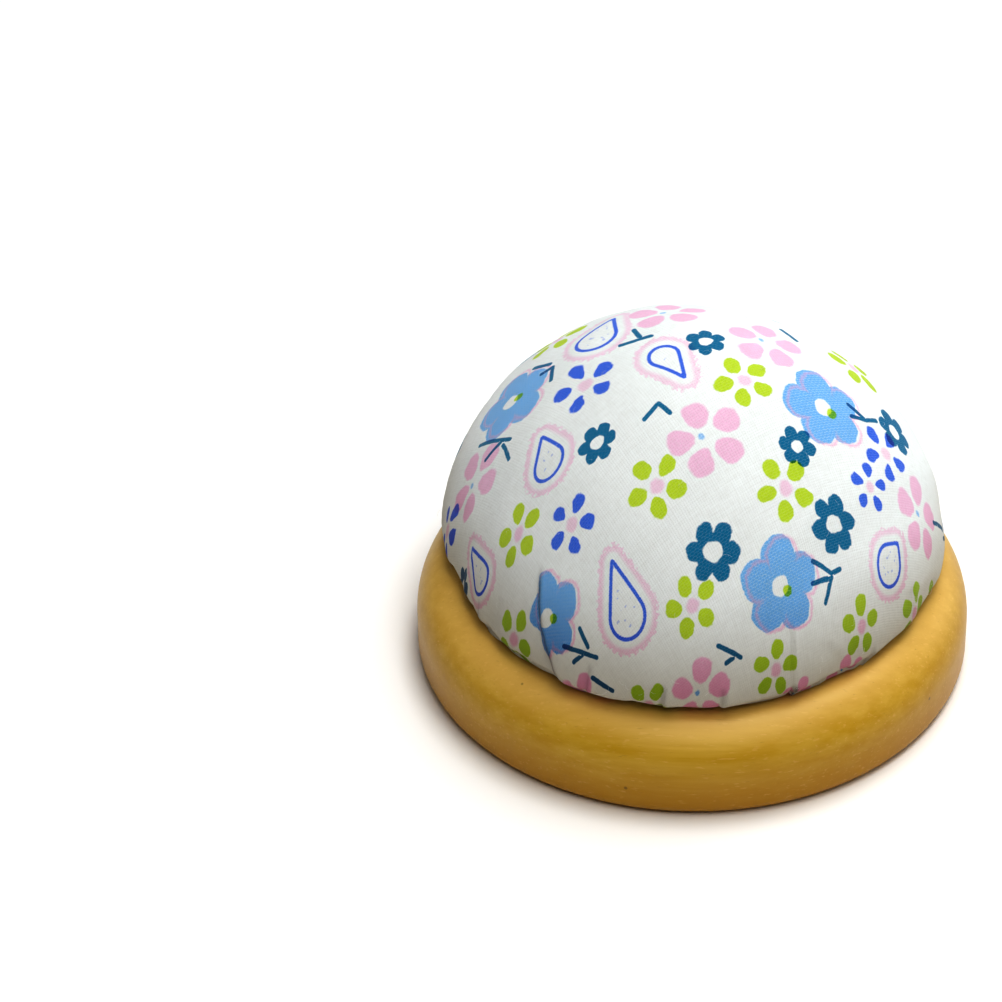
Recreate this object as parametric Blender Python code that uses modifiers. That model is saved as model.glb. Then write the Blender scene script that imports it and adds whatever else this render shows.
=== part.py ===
# Pin cushion: a stuffed cotton dome made up over a board and screwed into a turned wooden base.
# Metres, +Z up. The origin is the centre of the base's flat underside.
import math

import bmesh
import bpy
import numpy as np

MM = 0.001
GAP = 0.3 * MM

# Turned wooden base
BASE_RADIUS = 40.0 * MM
BASE_HEIGHT = 14.0 * MM
BASE_FOOT_ROUND = 2.0 * MM
BASE_SHOULDER_ROUND = 7.5 * MM
LIP_ROUND = 1.2 * MM
WELL_RADIUS = 31.0 * MM
WELL_FLOOR = 6.0 * MM
WELL_CORNER_ROUND = 1.0 * MM
BASE_STEPS = 72

# Screw joint under the base
COUNTERBORE_RADIUS = 5.0 * MM
COUNTERBORE_DEPTH = 3.4 * MM
FLOOR_HOLE_RADIUS = 2.1 * MM
WASHER_RADIUS = 4.5 * MM
WASHER_HOLE_RADIUS = 2.1 * MM
WASHER_THICKNESS = 0.6 * MM
SCREW_HEAD_RADIUS = 3.5 * MM
SCREW_HEAD_HEIGHT = 1.6 * MM
SCREW_LENGTH = 9.0 * MM
SCREW_MAJOR_RADIUS = 1.75 * MM
SCREW_MINOR_RADIUS = 1.25 * MM
SCREW_PITCH = 1.4 * MM
SCREW_STEPS = 24
RECESS_WIDTH = 0.8 * MM
RECESS_SPAN = 3.6 * MM
RECESS_DEPTH = 0.9 * MM

# Insert board
BOARD_RADIUS = 29.4 * MM
BOARD_THICKNESS = 4.0 * MM
BOARD_EDGE_ROUND = 0.6 * MM
BOARD_HOLE_RADIUS = 2.05 * MM

# Cloth cover and the stuffing inside it
CLOTH_THICKNESS = 0.5 * MM
HEM_THICKNESS = 1.0 * MM
GATHER_HOLE_RADIUS = 12.0 * MM
COVER_WELL_RADIUS = 30.6 * MM
COVER_LIP_RADIUS = 31.3 * MM
COVER_WIDEST_RADIUS = 35.8 * MM
COVER_WIDEST_HEIGHT = 20.5 * MM
COVER_TOP = 50.0 * MM
COVER_SQUARENESS = 1.95
COVER_STEPS = 48

# Gathering thread
THREAD_RADIUS = 0.25 * MM
THREAD_RING_RADIUS = 11.3 * MM
THREAD_WAVES = 14
THREAD_WAVE_HEIGHT = 0.25 * MM
KNOT_RADIUS = 0.6 * MM
TAIL_LENGTH = 5.0 * MM

# Heights that follow from the stack
CLOTH_UNDERSIDE = WELL_FLOOR + GAP
BOARD_UNDERSIDE = CLOTH_UNDERSIDE + HEM_THICKNESS + GAP
BOARD_TOP = BOARD_UNDERSIDE + BOARD_THICKNESS
FILLING_UNDERSIDE = BOARD_TOP + GAP
WASHER_UNDERSIDE = COUNTERBORE_DEPTH - GAP - WASHER_THICKNESS
SCREW_HEAD_TOP = WASHER_UNDERSIDE - GAP


def empty_scene():
    for old in list(bpy.data.objects):
        bpy.data.objects.remove(old, do_unlink=True)
    for name in ("pin_cushion", "cutters"):
        collection = bpy.data.collections.new(name)
        bpy.context.scene.collection.children.link(collection)


def material(name, colour, roughness, metallic=0.0):
    made = bpy.data.materials.new(name)
    made.use_nodes = True
    shader = made.node_tree.nodes["Principled BSDF"]
    shader.inputs["Base Color"].default_value = (*colour, 1.0)
    shader.inputs["Roughness"].default_value = roughness
    shader.inputs["Metallic"].default_value = metallic
    made.diffuse_color = (*colour, 1.0)
    return made


def arc(centre_r, centre_z, radius, start, end, count):
    """Points of an arc, by angle in degrees from straight out."""
    angles = np.radians(np.linspace(start, end, count))
    return [(centre_r + radius * math.cos(a), centre_z + radius * math.sin(a)) for a in angles]


def turned(name, profile, steps, closed=False):
    """One solid turned about Z from a profile of (radius, height) at +X."""
    mesh = bpy.data.meshes.new(name)
    shape = bmesh.new()
    points = [shape.verts.new((r, 0.0, z)) for r, z in profile]
    for first, second in zip(points, points[1:]):
        shape.edges.new((first, second))
    if closed:
        shape.edges.new((points[-1], points[0]))
    shape.to_mesh(mesh)
    shape.free()
    made = bpy.data.objects.new(name, mesh)
    bpy.data.collections["pin_cushion"].objects.link(made)
    spin = made.modifiers.new("turn", "SCREW")
    spin.axis = "Z"
    spin.angle = math.tau
    spin.steps = steps
    spin.render_steps = steps
    spin.use_merge_vertices = True
    spin.merge_threshold = 0.00001
    return made


def finish(made, made_material, sharp_angle=40):
    made.data.materials.clear()
    made.data.materials.append(made_material)
    for face in made.data.polygons:
        face.use_smooth = True
    made.data.set_sharp_from_angle(angle=math.radians(sharp_angle))


def to_plain_mesh(made):
    """The object's evaluated shape as its own mesh, with no modifiers left."""
    bpy.context.view_layer.update()
    graph = bpy.context.evaluated_depsgraph_get()
    mesh = bpy.data.meshes.new_from_object(made.evaluated_get(graph))
    collection = made.users_collection[0]
    name = made.name
    bpy.data.objects.remove(made, do_unlink=True)
    plain = bpy.data.objects.new(name, mesh)
    collection.objects.link(plain)
    shape = bmesh.new()
    shape.from_mesh(mesh)
    bmesh.ops.remove_doubles(shape, verts=shape.verts, dist=0.000001)
    bmesh.ops.recalc_face_normals(shape, faces=shape.faces)
    shape.to_mesh(mesh)
    shape.free()
    return plain


def boolean(made, other, operation):
    cut = made.modifiers.new(operation.lower(), "BOOLEAN")
    cut.operation = operation
    cut.solver = "EXACT"
    cut.object = other
    other.hide_render = True
    other.display_type = "WIRE"


def cover_outside():
    """The cloth's outer line from the crown down to the edge of the gather hole."""
    points = []
    rise = COVER_TOP - COVER_WIDEST_HEIGHT
    for turn in np.radians(np.linspace(90, 0, 15)):
        radius = COVER_WIDEST_RADIUS * max(math.cos(turn), 0.0) ** (2 / COVER_SQUARENESS)
        height = COVER_WIDEST_HEIGHT + rise * math.sin(turn) ** (2 / COVER_SQUARENESS)
        points.append((radius, height))
    points[0] = (0.0, COVER_TOP)
    points += [(35.4 * MM, 17.9 * MM), (34.3 * MM, 16.0 * MM), (32.7 * MM, 14.75 * MM)]
    points += [(COVER_LIP_RADIUS, 13.9 * MM), (COVER_WELL_RADIUS, 12.3 * MM)]
    points += arc(COVER_WELL_RADIUS - 2.0 * MM, CLOTH_UNDERSIDE + 2.0 * MM, 2.0 * MM, 0, -90, 4)
    points.append((GATHER_HOLE_RADIUS, CLOTH_UNDERSIDE))
    return points


def cover_inside():
    """The cloth's inner line from the gather hole back up to the crown."""
    outside = cover_outside()
    above = [point for point in outside if point[1] > 12.0 * MM]
    inside = []
    for index, (radius, height) in enumerate(above):
        before = above[max(index - 1, 0)]
        after = above[min(index + 1, len(above) - 1)]
        along = np.array([after[0] - before[0], after[1] - before[1]])
        inward = np.array([along[1], -along[0]]) / np.linalg.norm(along)
        inside.append((radius + inward[0] * CLOTH_THICKNESS, height + inward[1] * CLOTH_THICKNESS))
    inside[0] = (0.0, COVER_TOP - CLOTH_THICKNESS)
    wall = COVER_WELL_RADIUS - CLOTH_THICKNESS
    hem_top = CLOTH_UNDERSIDE + HEM_THICKNESS
    upward = [(GATHER_HOLE_RADIUS, hem_top), (wall - 1.0 * MM, hem_top)]
    upward += [(wall - 0.3 * MM, hem_top + 0.3 * MM), (wall, hem_top + 1.0 * MM)]
    return upward + inside[::-1]


def wooden_base():
    crest = BASE_RADIUS - BASE_SHOULDER_ROUND
    profile = arc(WELL_RADIUS + LIP_ROUND, BASE_HEIGHT - LIP_ROUND, LIP_ROUND, 180, 90, 5)
    profile += arc(crest, BASE_HEIGHT - BASE_SHOULDER_ROUND, BASE_SHOULDER_ROUND, 90, 0, 11)
    foot = BASE_RADIUS - BASE_FOOT_ROUND
    profile += arc(foot, BASE_FOOT_ROUND, BASE_FOOT_ROUND, 0, -90, 5)
    profile += [(COUNTERBORE_RADIUS, 0.0), (COUNTERBORE_RADIUS, COUNTERBORE_DEPTH)]
    profile += [(FLOOR_HOLE_RADIUS, COUNTERBORE_DEPTH), (FLOOR_HOLE_RADIUS, WELL_FLOOR)]
    corner = WELL_RADIUS - WELL_CORNER_ROUND
    profile += arc(corner, WELL_FLOOR + WELL_CORNER_ROUND, WELL_CORNER_ROUND, -90, 0, 4)
    made = turned("wooden_base", profile, BASE_STEPS, closed=True)
    finish(made, material("lacquered_wood", (0.72, 0.46, 0.16), 0.35))


def cushion_cover():
    made = turned("cushion_cover", cover_outside() + cover_inside(), COVER_STEPS)
    finish(made, material("printed_cotton", (0.83, 0.84, 0.83), 0.9), 50)


def cushion_filling():
    """The cover's inside, one gap further in, down to the board."""
    inside = [point for point in cover_inside()[::-1] if point[1] > FILLING_UNDERSIDE + 0.35 * MM]
    profile = []
    for index, (radius, height) in enumerate(inside):
        before = inside[max(index - 1, 0)]
        after = inside[min(index + 1, len(inside) - 1)]
        along = np.array([after[0] - before[0], after[1] - before[1]])
        inward = np.array([along[1], -along[0]]) / np.linalg.norm(along)
        profile.append((radius + inward[0] * GAP, height + inward[1] * GAP))
    profile[0] = (0.0, inside[0][1] - GAP)
    edge = profile[-1][0]
    profile += [(edge, FILLING_UNDERSIDE + 0.3 * MM), (edge - 0.3 * MM, FILLING_UNDERSIDE)]
    profile.append((0.0, FILLING_UNDERSIDE))
    made = turned("cushion_filling", profile, COVER_STEPS)
    finish(made, material("fibre_filling", (0.86, 0.85, 0.82), 0.95), 50)


def backing_disc():
    profile = [(BOARD_HOLE_RADIUS, BOARD_TOP)]
    edge = BOARD_RADIUS - BOARD_EDGE_ROUND
    profile += arc(edge, BOARD_TOP - BOARD_EDGE_ROUND, BOARD_EDGE_ROUND, 90, 0, 4)
    profile += arc(edge, BOARD_UNDERSIDE + BOARD_EDGE_ROUND, BOARD_EDGE_ROUND, 0, -90, 4)
    profile.append((BOARD_HOLE_RADIUS, BOARD_UNDERSIDE))
    made = turned("backing_disc", profile, COVER_STEPS, closed=True)
    finish(made, material("plywood_board", (0.62, 0.46, 0.29), 0.75))


def screw_washer():
    top = WASHER_UNDERSIDE + WASHER_THICKNESS
    profile = [(WASHER_HOLE_RADIUS, top), (WASHER_RADIUS - 0.1 * MM, top)]
    profile += [(WASHER_RADIUS, top - 0.1 * MM), (WASHER_RADIUS, WASHER_UNDERSIDE + 0.1 * MM)]
    profile += [(WASHER_RADIUS - 0.1 * MM, WASHER_UNDERSIDE), (WASHER_HOLE_RADIUS, WASHER_UNDERSIDE)]
    made = turned("screw_washer", profile, 32, closed=True)
    finish(made, material("zinc_washer", (0.62, 0.63, 0.64), 0.35, 1.0))


def recess_cutter(name, span_x, span_y):
    """One bar of the cross-shaped drive recess."""
    shape = bmesh.new()
    bmesh.ops.create_cube(shape, size=1.0)
    bmesh.ops.scale(shape, vec=(span_x, span_y, 2 * RECESS_DEPTH), verts=shape.verts)
    head_bottom = SCREW_HEAD_TOP - SCREW_HEAD_HEIGHT
    bmesh.ops.translate(shape, vec=(0.0, 0.0, head_bottom), verts=shape.verts)
    mesh = bpy.data.meshes.new(name)
    shape.to_mesh(mesh)
    shape.free()
    made = bpy.data.objects.new(name, mesh)
    bpy.data.collections["cutters"].objects.link(made)
    return made


def fixing_screw():
    tip = SCREW_HEAD_TOP + SCREW_LENGTH
    profile = [(0.0, tip), (0.45 * MM, tip - 0.6 * MM), (0.9 * MM, tip - 1.6 * MM)]
    height = tip - 2.2 * MM
    while height - SCREW_PITCH > SCREW_HEAD_TOP + 0.6 * MM:
        profile += [(SCREW_MINOR_RADIUS, height), (SCREW_MAJOR_RADIUS, height - 0.45 * MM)]
        profile += [(SCREW_MAJOR_RADIUS, height - 0.6 * MM), (SCREW_MINOR_RADIUS, height - 1.05 * MM)]
        height -= SCREW_PITCH
    profile.append((SCREW_MINOR_RADIUS, SCREW_HEAD_TOP))
    head_bottom = SCREW_HEAD_TOP - SCREW_HEAD_HEIGHT
    profile += [(SCREW_HEAD_RADIUS - 0.1 * MM, SCREW_HEAD_TOP), (SCREW_HEAD_RADIUS, SCREW_HEAD_TOP - 0.1 * MM)]
    profile += [(SCREW_HEAD_RADIUS, SCREW_HEAD_TOP - 0.5 * MM)]
    profile += [(SCREW_HEAD_RADIUS - 0.25 * MM, head_bottom + 0.5 * MM)]
    profile += [(SCREW_HEAD_RADIUS - 0.9 * MM, head_bottom + 0.12 * MM)]
    profile += [(SCREW_HEAD_RADIUS - 1.7 * MM, head_bottom), (0.0, head_bottom)]
    made = turned("fixing_screw", profile, SCREW_STEPS)
    boolean(made, recess_cutter("recess_cutter_x", RECESS_SPAN, RECESS_WIDTH), "DIFFERENCE")
    boolean(made, recess_cutter("recess_cutter_y", RECESS_WIDTH, RECESS_SPAN), "DIFFERENCE")
    finish(to_plain_mesh(made), material("zinc_screw", (0.66, 0.66, 0.67), 0.3, 1.0))


def gathering_thread():
    """A drawn running stitch round the gather hole, tied off in a knot with two tails."""
    middle = CLOTH_UNDERSIDE + HEM_THICKNESS / 2
    line = []
    start = (THREAD_RING_RADIUS - TAIL_LENGTH, -1.6 * MM, middle - 0.35 * MM)
    line += [start, (THREAD_RING_RADIUS - TAIL_LENGTH / 2, -1.1 * MM, middle - 0.2 * MM)]
    for turn in np.linspace(0, math.tau, THREAD_WAVES * 6 + 1):
        wave = THREAD_WAVE_HEIGHT * math.sin(THREAD_WAVES * turn)
        pull = 0.12 * MM * math.cos(2 * THREAD_WAVES * turn)
        radius = THREAD_RING_RADIUS + pull
        line.append((radius * math.cos(turn), radius * math.sin(turn), middle + wave))
    line += [(THREAD_RING_RADIUS - TAIL_LENGTH / 2, 1.1 * MM, middle - 0.2 * MM)]
    line += [(THREAD_RING_RADIUS - TAIL_LENGTH, 1.9 * MM, middle - 0.35 * MM)]
    curve = bpy.data.curves.new("gathering_thread", "CURVE")
    curve.dimensions = "3D"
    curve.bevel_depth = THREAD_RADIUS
    curve.bevel_resolution = 2
    curve.use_fill_caps = True
    spline = curve.splines.new("POLY")
    spline.points.add(len(line) - 1)
    for point, place in zip(spline.points, line):
        point.co = (*place, 1.0)
    thread = bpy.data.objects.new("gathering_thread", curve)
    bpy.data.collections["pin_cushion"].objects.link(thread)
    thread = to_plain_mesh(thread)
    shape = bmesh.new()
    bmesh.ops.create_icosphere(shape, subdivisions=2, radius=KNOT_RADIUS)
    bmesh.ops.translate(shape, vec=(THREAD_RING_RADIUS - 0.1 * MM, 0.0, middle), verts=shape.verts)
    mesh = bpy.data.meshes.new("thread_knot")
    shape.to_mesh(mesh)
    shape.free()
    knot = bpy.data.objects.new("thread_knot", mesh)
    bpy.data.collections["cutters"].objects.link(knot)
    boolean(thread, knot, "UNION")
    finish(thread, material("sewing_thread", (0.85, 0.84, 0.80), 0.7))


empty_scene()
wooden_base()
cushion_cover()
cushion_filling()
backing_disc()
gathering_thread()
fixing_screw()
screw_washer()
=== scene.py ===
import math

import bmesh
import bpy
import numpy as np
from mathutils import Matrix, Vector


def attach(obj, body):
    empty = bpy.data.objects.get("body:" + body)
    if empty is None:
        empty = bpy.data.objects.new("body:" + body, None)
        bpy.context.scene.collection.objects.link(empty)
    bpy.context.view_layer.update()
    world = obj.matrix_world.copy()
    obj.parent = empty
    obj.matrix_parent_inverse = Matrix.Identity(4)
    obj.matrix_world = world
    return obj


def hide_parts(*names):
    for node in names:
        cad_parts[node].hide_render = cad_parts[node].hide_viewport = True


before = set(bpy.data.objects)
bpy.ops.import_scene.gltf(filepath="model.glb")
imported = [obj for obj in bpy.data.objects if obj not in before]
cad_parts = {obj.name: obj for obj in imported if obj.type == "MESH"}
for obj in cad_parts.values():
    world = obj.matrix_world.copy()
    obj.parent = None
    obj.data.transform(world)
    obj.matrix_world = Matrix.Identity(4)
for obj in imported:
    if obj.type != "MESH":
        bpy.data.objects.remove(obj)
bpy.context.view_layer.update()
mm = 0.001
print("frame loaded")


# small helpers for node trees, shared by the materials and the geometry trees

def feed(tree, socket, value):
    if isinstance(value, bpy.types.NodeSocket):
        tree.links.new(value, socket)
    elif value is not None:
        socket.default_value = value


def feedAll(tree, node, sockets):
    for socket, value in sockets.items():
        feed(tree, node.inputs[socket], value)


def addNode(tree, kind, sockets=None, **settings):
    # a node with its settings made, and its sockets fed by name or by number
    node = tree.nodes.new(kind)
    for name, value in settings.items():
        setattr(node, name, value)
    feedAll(tree, node, sockets or {})
    return node


def calc(tree, operation, *values, clamp=False):
    sockets = dict(enumerate(values))
    return addNode(tree, "ShaderNodeMath", sockets, operation=operation, use_clamp=clamp).outputs[0]


def times(tree, *values):
    # the product of two or more numbers
    product = values[0]
    for value in values[1:]:
        product = calc(tree, "MULTIPLY", product, value)
    return product


def vectorCalc(tree, operation, first, second=None):
    other = "Scale" if operation == "SCALE" else 1
    node = addNode(tree, "ShaderNodeVectorMath", {0: first, other: second}, operation=operation)
    return node.outputs["Value"] if operation in ("LENGTH", "DOT_PRODUCT") else node.outputs[0]


def smoothStep(tree, value, low, high, fromValue=0.0, toValue=1.0):
    sockets = {"Value": value, "From Min": low, "From Max": high, "To Min": fromValue,
               "To Max": toValue}
    node = addNode(tree, "ShaderNodeMapRange", sockets, interpolation_type="SMOOTHSTEP")
    return node.outputs["Result"]


def mixColour(tree, factor, first, second, blend="MIX"):
    # a Mix node keeps its colours in sockets 6 and 7, and their mix in output 2
    node = addNode(tree, "ShaderNodeMix", {0: factor, 6: first, 7: second}, data_type="RGBA",
                   blend_type=blend)
    return node.outputs[2]


def noiseAt(tree, place, scale, detail=2.0, roughness=0.5, colour=False):
    sockets = {"Vector": place, "Scale": scale, "Detail": detail, "Roughness": roughness}
    return addNode(tree, "ShaderNodeTexNoise", sockets).outputs["Color" if colour else "Fac"]


def stretched(tree, place, scale, turn=0.0):
    sockets = {"Vector": place, "Scale": scale, "Rotation": (0, 0, math.radians(turn))}
    return addNode(tree, "ShaderNodeMapping", sockets).outputs[0]


def grainAlong(tree, place, scale, detail, roughness, turn=0.0):
    # noise drawn out by a different scale on each axis
    return noiseAt(tree, stretched(tree, place, scale, turn), 1.0, detail, roughness)


def bump(tree, height, strength, distance, under=None):
    sockets = {"Strength": strength, "Distance": distance, "Height": height, "Normal": under}
    return addNode(tree, "ShaderNodeBump", sockets).outputs[0]


def attribute(tree, name, output="Vector"):
    return addNode(tree, "ShaderNodeAttribute", attribute_name=name).outputs[output]


def parted(tree, vector):
    # the x, y and z of a vector
    return list(addNode(tree, "ShaderNodeSeparateXYZ", {0: vector}).outputs)


def placeInMm(tree):
    place = tree.nodes.new("ShaderNodeTexCoord").outputs["Object"]
    return vectorCalc(tree, "SCALE", place, 1 / mm)


def paint(red, green, blue):
    # a colour as a colour picker shows it, 0 to 255
    parts = [channel / 255 for channel in (red, green, blue)]
    return tuple(c / 12.92 if c < 0.04045 else ((c + 0.055) / 1.055) ** 2.4 for c in parts) + (1.0,)


def newMaterial(name):
    material = bpy.data.materials.new(name)
    material.use_nodes = True
    tree = material.node_tree
    return material, tree, tree.nodes["Principled BSDF"]


# mesh helpers

def meshPiece(name, points, faces, material, smooth=True):
    data = bpy.data.meshes.new(name)
    data.from_pydata([tuple(p) for p in np.asarray(points, float) * mm], [], faces)
    data.materials.append(material)
    data.polygons.foreach_set("use_smooth", [smooth] * len(data.polygons))
    data.update()
    piece = bpy.data.objects.new(name, data)
    bpy.context.scene.collection.objects.link(piece)
    return piece


def facesOutward(piece, merge=True):
    work = bmesh.new()
    work.from_mesh(piece.data)
    if merge:
        bmesh.ops.remove_doubles(work, verts=work.verts, dist=0.00001 * mm)
    bmesh.ops.recalc_face_normals(work, faces=work.faces)
    work.to_mesh(piece.data)
    work.free()


def joinOn(piece, extra):
    # the second piece becomes part of the first
    work = bmesh.new()
    work.from_mesh(piece.data)
    work.from_mesh(extra.data)
    work.to_mesh(piece.data)
    work.free()
    bpy.data.objects.remove(extra)


def asPlainMesh(piece):
    # the evaluated object, with its modifiers gone
    bpy.context.view_layer.update()
    graph = bpy.context.evaluated_depsgraph_get()
    plain = bpy.data.meshes.new_from_object(piece.evaluated_get(graph), depsgraph=graph)
    piece.modifiers.clear()
    piece.data = plain
    plain.name = piece.name
    return piece


def arcPoints(centre, radius, startAngle, endAngle, count):
    angles = np.radians(np.linspace(startAngle, endAngle, count))
    return [(centre[0] + radius * math.cos(a), centre[1] + radius * math.sin(a)) for a in angles]


def roundTurn(steps):
    return np.linspace(0, 2 * math.pi, steps, endpoint=False)


def levelRing(turns, radius, height):
    return np.stack([radius * np.cos(turns), radius * np.sin(turns), np.full(len(turns), height)], -1)


def turnedLoop(profile, steps):
    # a closed profile off the axis, swept once round
    profile = np.array(profile)
    count = len(profile)
    radius, height = (np.tile(profile[:, i], (steps, 1)) for i in (0, 1))
    turn = np.tile(roundTurn(steps)[:, None], (1, count))
    points = np.stack([radius * np.cos(turn), radius * np.sin(turn), height], -1).reshape(-1, 3)
    faces = []
    for i in range(steps):
        for j in range(count):
            k, nextJ = (i + 1) % steps, (j + 1) % count
            faces.append((i * count + j, k * count + j, k * count + nextJ, i * count + nextJ))
    return points, faces


def fannedRings(first, rings, last=None):
    # rings of points, closed by a fan at the first point, and at the last one where it is given
    steps = len(rings[0])
    points = np.concatenate([[first], *rings] + ([] if last is None else [[last]]))
    faces = [(0, 1 + i, 1 + (i + 1) % steps) for i in range(steps)]
    for j in range(len(rings) - 1):
        for i in range(steps):
            a, b = 1 + j * steps + i, 1 + j * steps + (i + 1) % steps
            faces.append((a, a + steps, b + steps, b))
    if last is not None:
        start, end = 1 + (len(rings) - 1) * steps, len(points) - 1
        faces += [(start + i, end, start + (i + 1) % steps) for i in range(steps)]
    return points, faces


def tubeAlong(path, radius, sides):
    # a closed tube with flat ends along a list of points
    path = [Vector(p) for p in path]
    normal = None
    points, faces = [], []
    for i, here in enumerate(path):
        ahead = path[min(i + 1, len(path) - 1)] - path[max(i - 1, 0)]
        ahead.normalize()
        if normal is None:
            normal = ahead.orthogonal().normalized()
        normal = (normal - ahead * normal.dot(ahead)).normalized()
        side = ahead.cross(normal)
        for k in range(sides):
            a = 2 * math.pi * k / sides
            points.append(tuple(here + radius * (math.cos(a) * normal + math.sin(a) * side)))
    for i in range(len(path) - 1):
        for k in range(sides):
            n = (k + 1) % sides
            faces.append((i * sides + k, i * sides + n, (i + 1) * sides + n, (i + 1) * sides + k))
    faces.append(tuple(reversed(range(sides))))
    faces.append(tuple(range(len(points) - sides, len(points))))
    return points, faces


# wooden base: turned from one board, sanded and lacquered

baseLook = {
    "radius": 40.0,
    "height": 14.0,
    "footRound": 2.0,
    "shoulderRound": 7.5,
    "wellRadius": 31.0,
    "wellFloor": 6.0,
    "wellCorner": 0.6,
    "lipRound": 1.2,
    "counterbore": (5.0, 3.4),
    "screwHole": 2.1,
    "brokenEdge": 0.2,        # every drilled edge is rounded this much
    "footEdge": 0.3,
    "steps": 288,
    "handSanding": 0.05,      # how far the outside wanders from true
    "nick": (-123.0, 10.0, 0.8, 0.22),  # angle, height, size, depth
    "paleWood": paint(222, 186, 78),
    "honeyWood": paint(206, 164, 36),
    # painted shade: the wood is mixed towards this amber low down, where less light falls
    "footShadeAmber": paint(184, 132, 2),
    "endGrain": paint(174, 124, 12),
    # painted light: the top is mixed towards this pale tone, where the light falls
    "topLightPale": paint(228, 190, 118),
    "paleFleck": paint(244, 208, 140),
    "pore": paint(150, 98, 30),
    "speck": paint(92, 60, 20),
    # how strong the painted foot shade and the painted top light are
    "footShadeStrength": 0.9,
    "topLightStrength": 0.62,
    "flecked": 0.22,
    "pored": 0.25,
    "specked": 0.6,
    "roughness": 0.42,
    "coat": 0.30,
    "coatRoughness": 0.36,
    "sheenOfLacquer": paint(255, 232, 170),
}


def lacqueredWood():
    look = baseLook
    material, tree, shader = newMaterial("lacqueredWood")
    place = placeInMm(tree)
    across, up = parted(tree, place)[::2]
    # the board's grain runs along x
    longGrain = grainAlong(tree, place, (0.035, 0.5, 0.75), 4.0, 0.62)
    fineGrain = grainAlong(tree, place, (0.16, 2.6, 3.4), 3.0, 0.6)
    flecks = grainAlong(tree, place, (0.5, 2.2, 2.8), 2.0, 0.5)
    cloudy = noiseAt(tree, place, 0.055, 3.0, 0.55)
    wobble = calc(tree, "MULTIPLY_ADD", cloudy, 0.5, -0.25)
    spots = addNode(tree, "ShaderNodeTexVoronoi", {"Vector": place, "Scale": 0.09})
    # painted shade makes the wood a deeper amber towards the foot, painted light makes the top paler,
    # and end grain drinks more
    low = calc(tree, "ADD", smoothStep(tree, up, 0.5, 12.5, 1.0, 0.0), wobble, clamp=True)
    high = calc(tree, "ADD", smoothStep(tree, up, 9.5, 13.8), wobble, clamp=True)
    ends = smoothStep(tree, calc(tree, "ABSOLUTE", across), 27.0, 40.0)
    ends = times(tree, ends, times(tree, smoothStep(tree, up, 13.7, 9.0), 0.35))
    fleck = smoothStep(tree, flecks, 0.6, 0.72)
    pore = smoothStep(tree, fineGrain, 0.36, 0.26)
    speck = smoothStep(tree, spots.outputs["Distance"], 0.03, 0.015)
    colour = mixColour(tree, smoothStep(tree, longGrain, 0.28, 0.76), look["honeyWood"],
                       look["paleWood"])
    # the painted foot shade and painted top light go in here with the grain, end grain, flecks, pores
    # and specks
    for amount, tone in ((times(tree, low, look["footShadeStrength"]), "footShadeAmber"),
                         (times(tree, high, look["topLightStrength"]), "topLightPale"), (ends, "endGrain"),
                         (times(tree, fleck, look["flecked"]), "paleFleck"),
                         (times(tree, pore, look["pored"]), "pore"),
                         (times(tree, speck, look["specked"]), "speck")):
        colour = mixColour(tree, amount, colour, look[tone])
    rough = calc(tree, "MULTIPLY_ADD", fineGrain, 0.16, look["roughness"] - 0.08)
    fine = bump(tree, fineGrain, 0.12, 0.06 * mm)
    feedAll(tree, shader, {
        "Base Color": colour, "Roughness": rough, "Coat Weight": look["coat"],
        "Coat Roughness": look["coatRoughness"], "IOR": 1.45,
        "Specular Tint": look["sheenOfLacquer"], "Normal": bump(tree, cloudy, 0.3, 0.5 * mm, fine)})
    return material


def baseProfile():
    look = baseLook
    r, top = look["radius"], look["height"]
    foot, shoulder, lip = look["footRound"], look["shoulderRound"], look["lipRound"]
    well, floor, corner = look["wellRadius"], look["wellFloor"], look["wellCorner"]
    bore, depth = look["counterbore"]
    hole, edge, footEdge = look["screwHole"], look["brokenEdge"], look["footEdge"]
    profile = arcPoints((r - foot, foot), foot, -90, 0, 9)
    profile += arcPoints((r - shoulder, top - shoulder), shoulder, 0, 90, 25)
    profile += arcPoints((well + lip, top - lip), lip, 90, 180, 9)
    profile += [(well, z) for z in (11.4, 9.6, 8.0)]
    profile += arcPoints((well - corner, floor + corner), corner, 0, -90, 5)
    profile += [(x, floor) for x in (27.0, 22.0, 17.0, 12.0, 7.0)]
    profile += arcPoints((hole + edge, floor - edge), edge, 90, 180, 3)
    profile += [(hole, 4.7)]
    profile += arcPoints((hole + edge, depth + edge), edge, 180, 270, 3)
    profile += [(3.6, depth)]
    profile += arcPoints((bore - edge, depth - edge), edge, 90, 0, 3)
    profile += [(bore, 1.8)]
    profile += arcPoints((bore + footEdge, footEdge), footEdge, 180, 270, 4)
    profile += [(x, 0.0) for x in (12.0, 20.0, 28.0, 34.0)]
    return profile


def sandedByHand(points):
    look = baseLook
    turn = np.arctan2(points[:, 1], points[:, 0])
    radius = np.hypot(points[:, 0], points[:, 1])
    outside = np.clip((radius - 32.0) / 6.0, 0, 1) * np.clip(points[:, 2] / 2.0, 0, 1)
    wander = np.sin(3 * turn + 0.7) + 0.6 * np.sin(7 * turn + 2.1 + 0.2 * points[:, 2])
    wander += 0.4 * np.sin(13 * turn + 4.0)
    # the three waves add up to 2 at most, so the sanding only takes wood away
    inward = look["handSanding"] * (wander - 2.0) * 0.5 * outside
    angle, height, size, depth = look["nick"]
    along = (turn - math.radians(angle)) * radius
    away = np.hypot(along / size, (points[:, 2] - height) / (0.6 * size))
    inward -= depth * np.exp(-away ** 2) * outside
    points = points.copy()
    points[:, :2] *= (1 + inward / np.maximum(radius, 1))[:, None]
    return points


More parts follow.
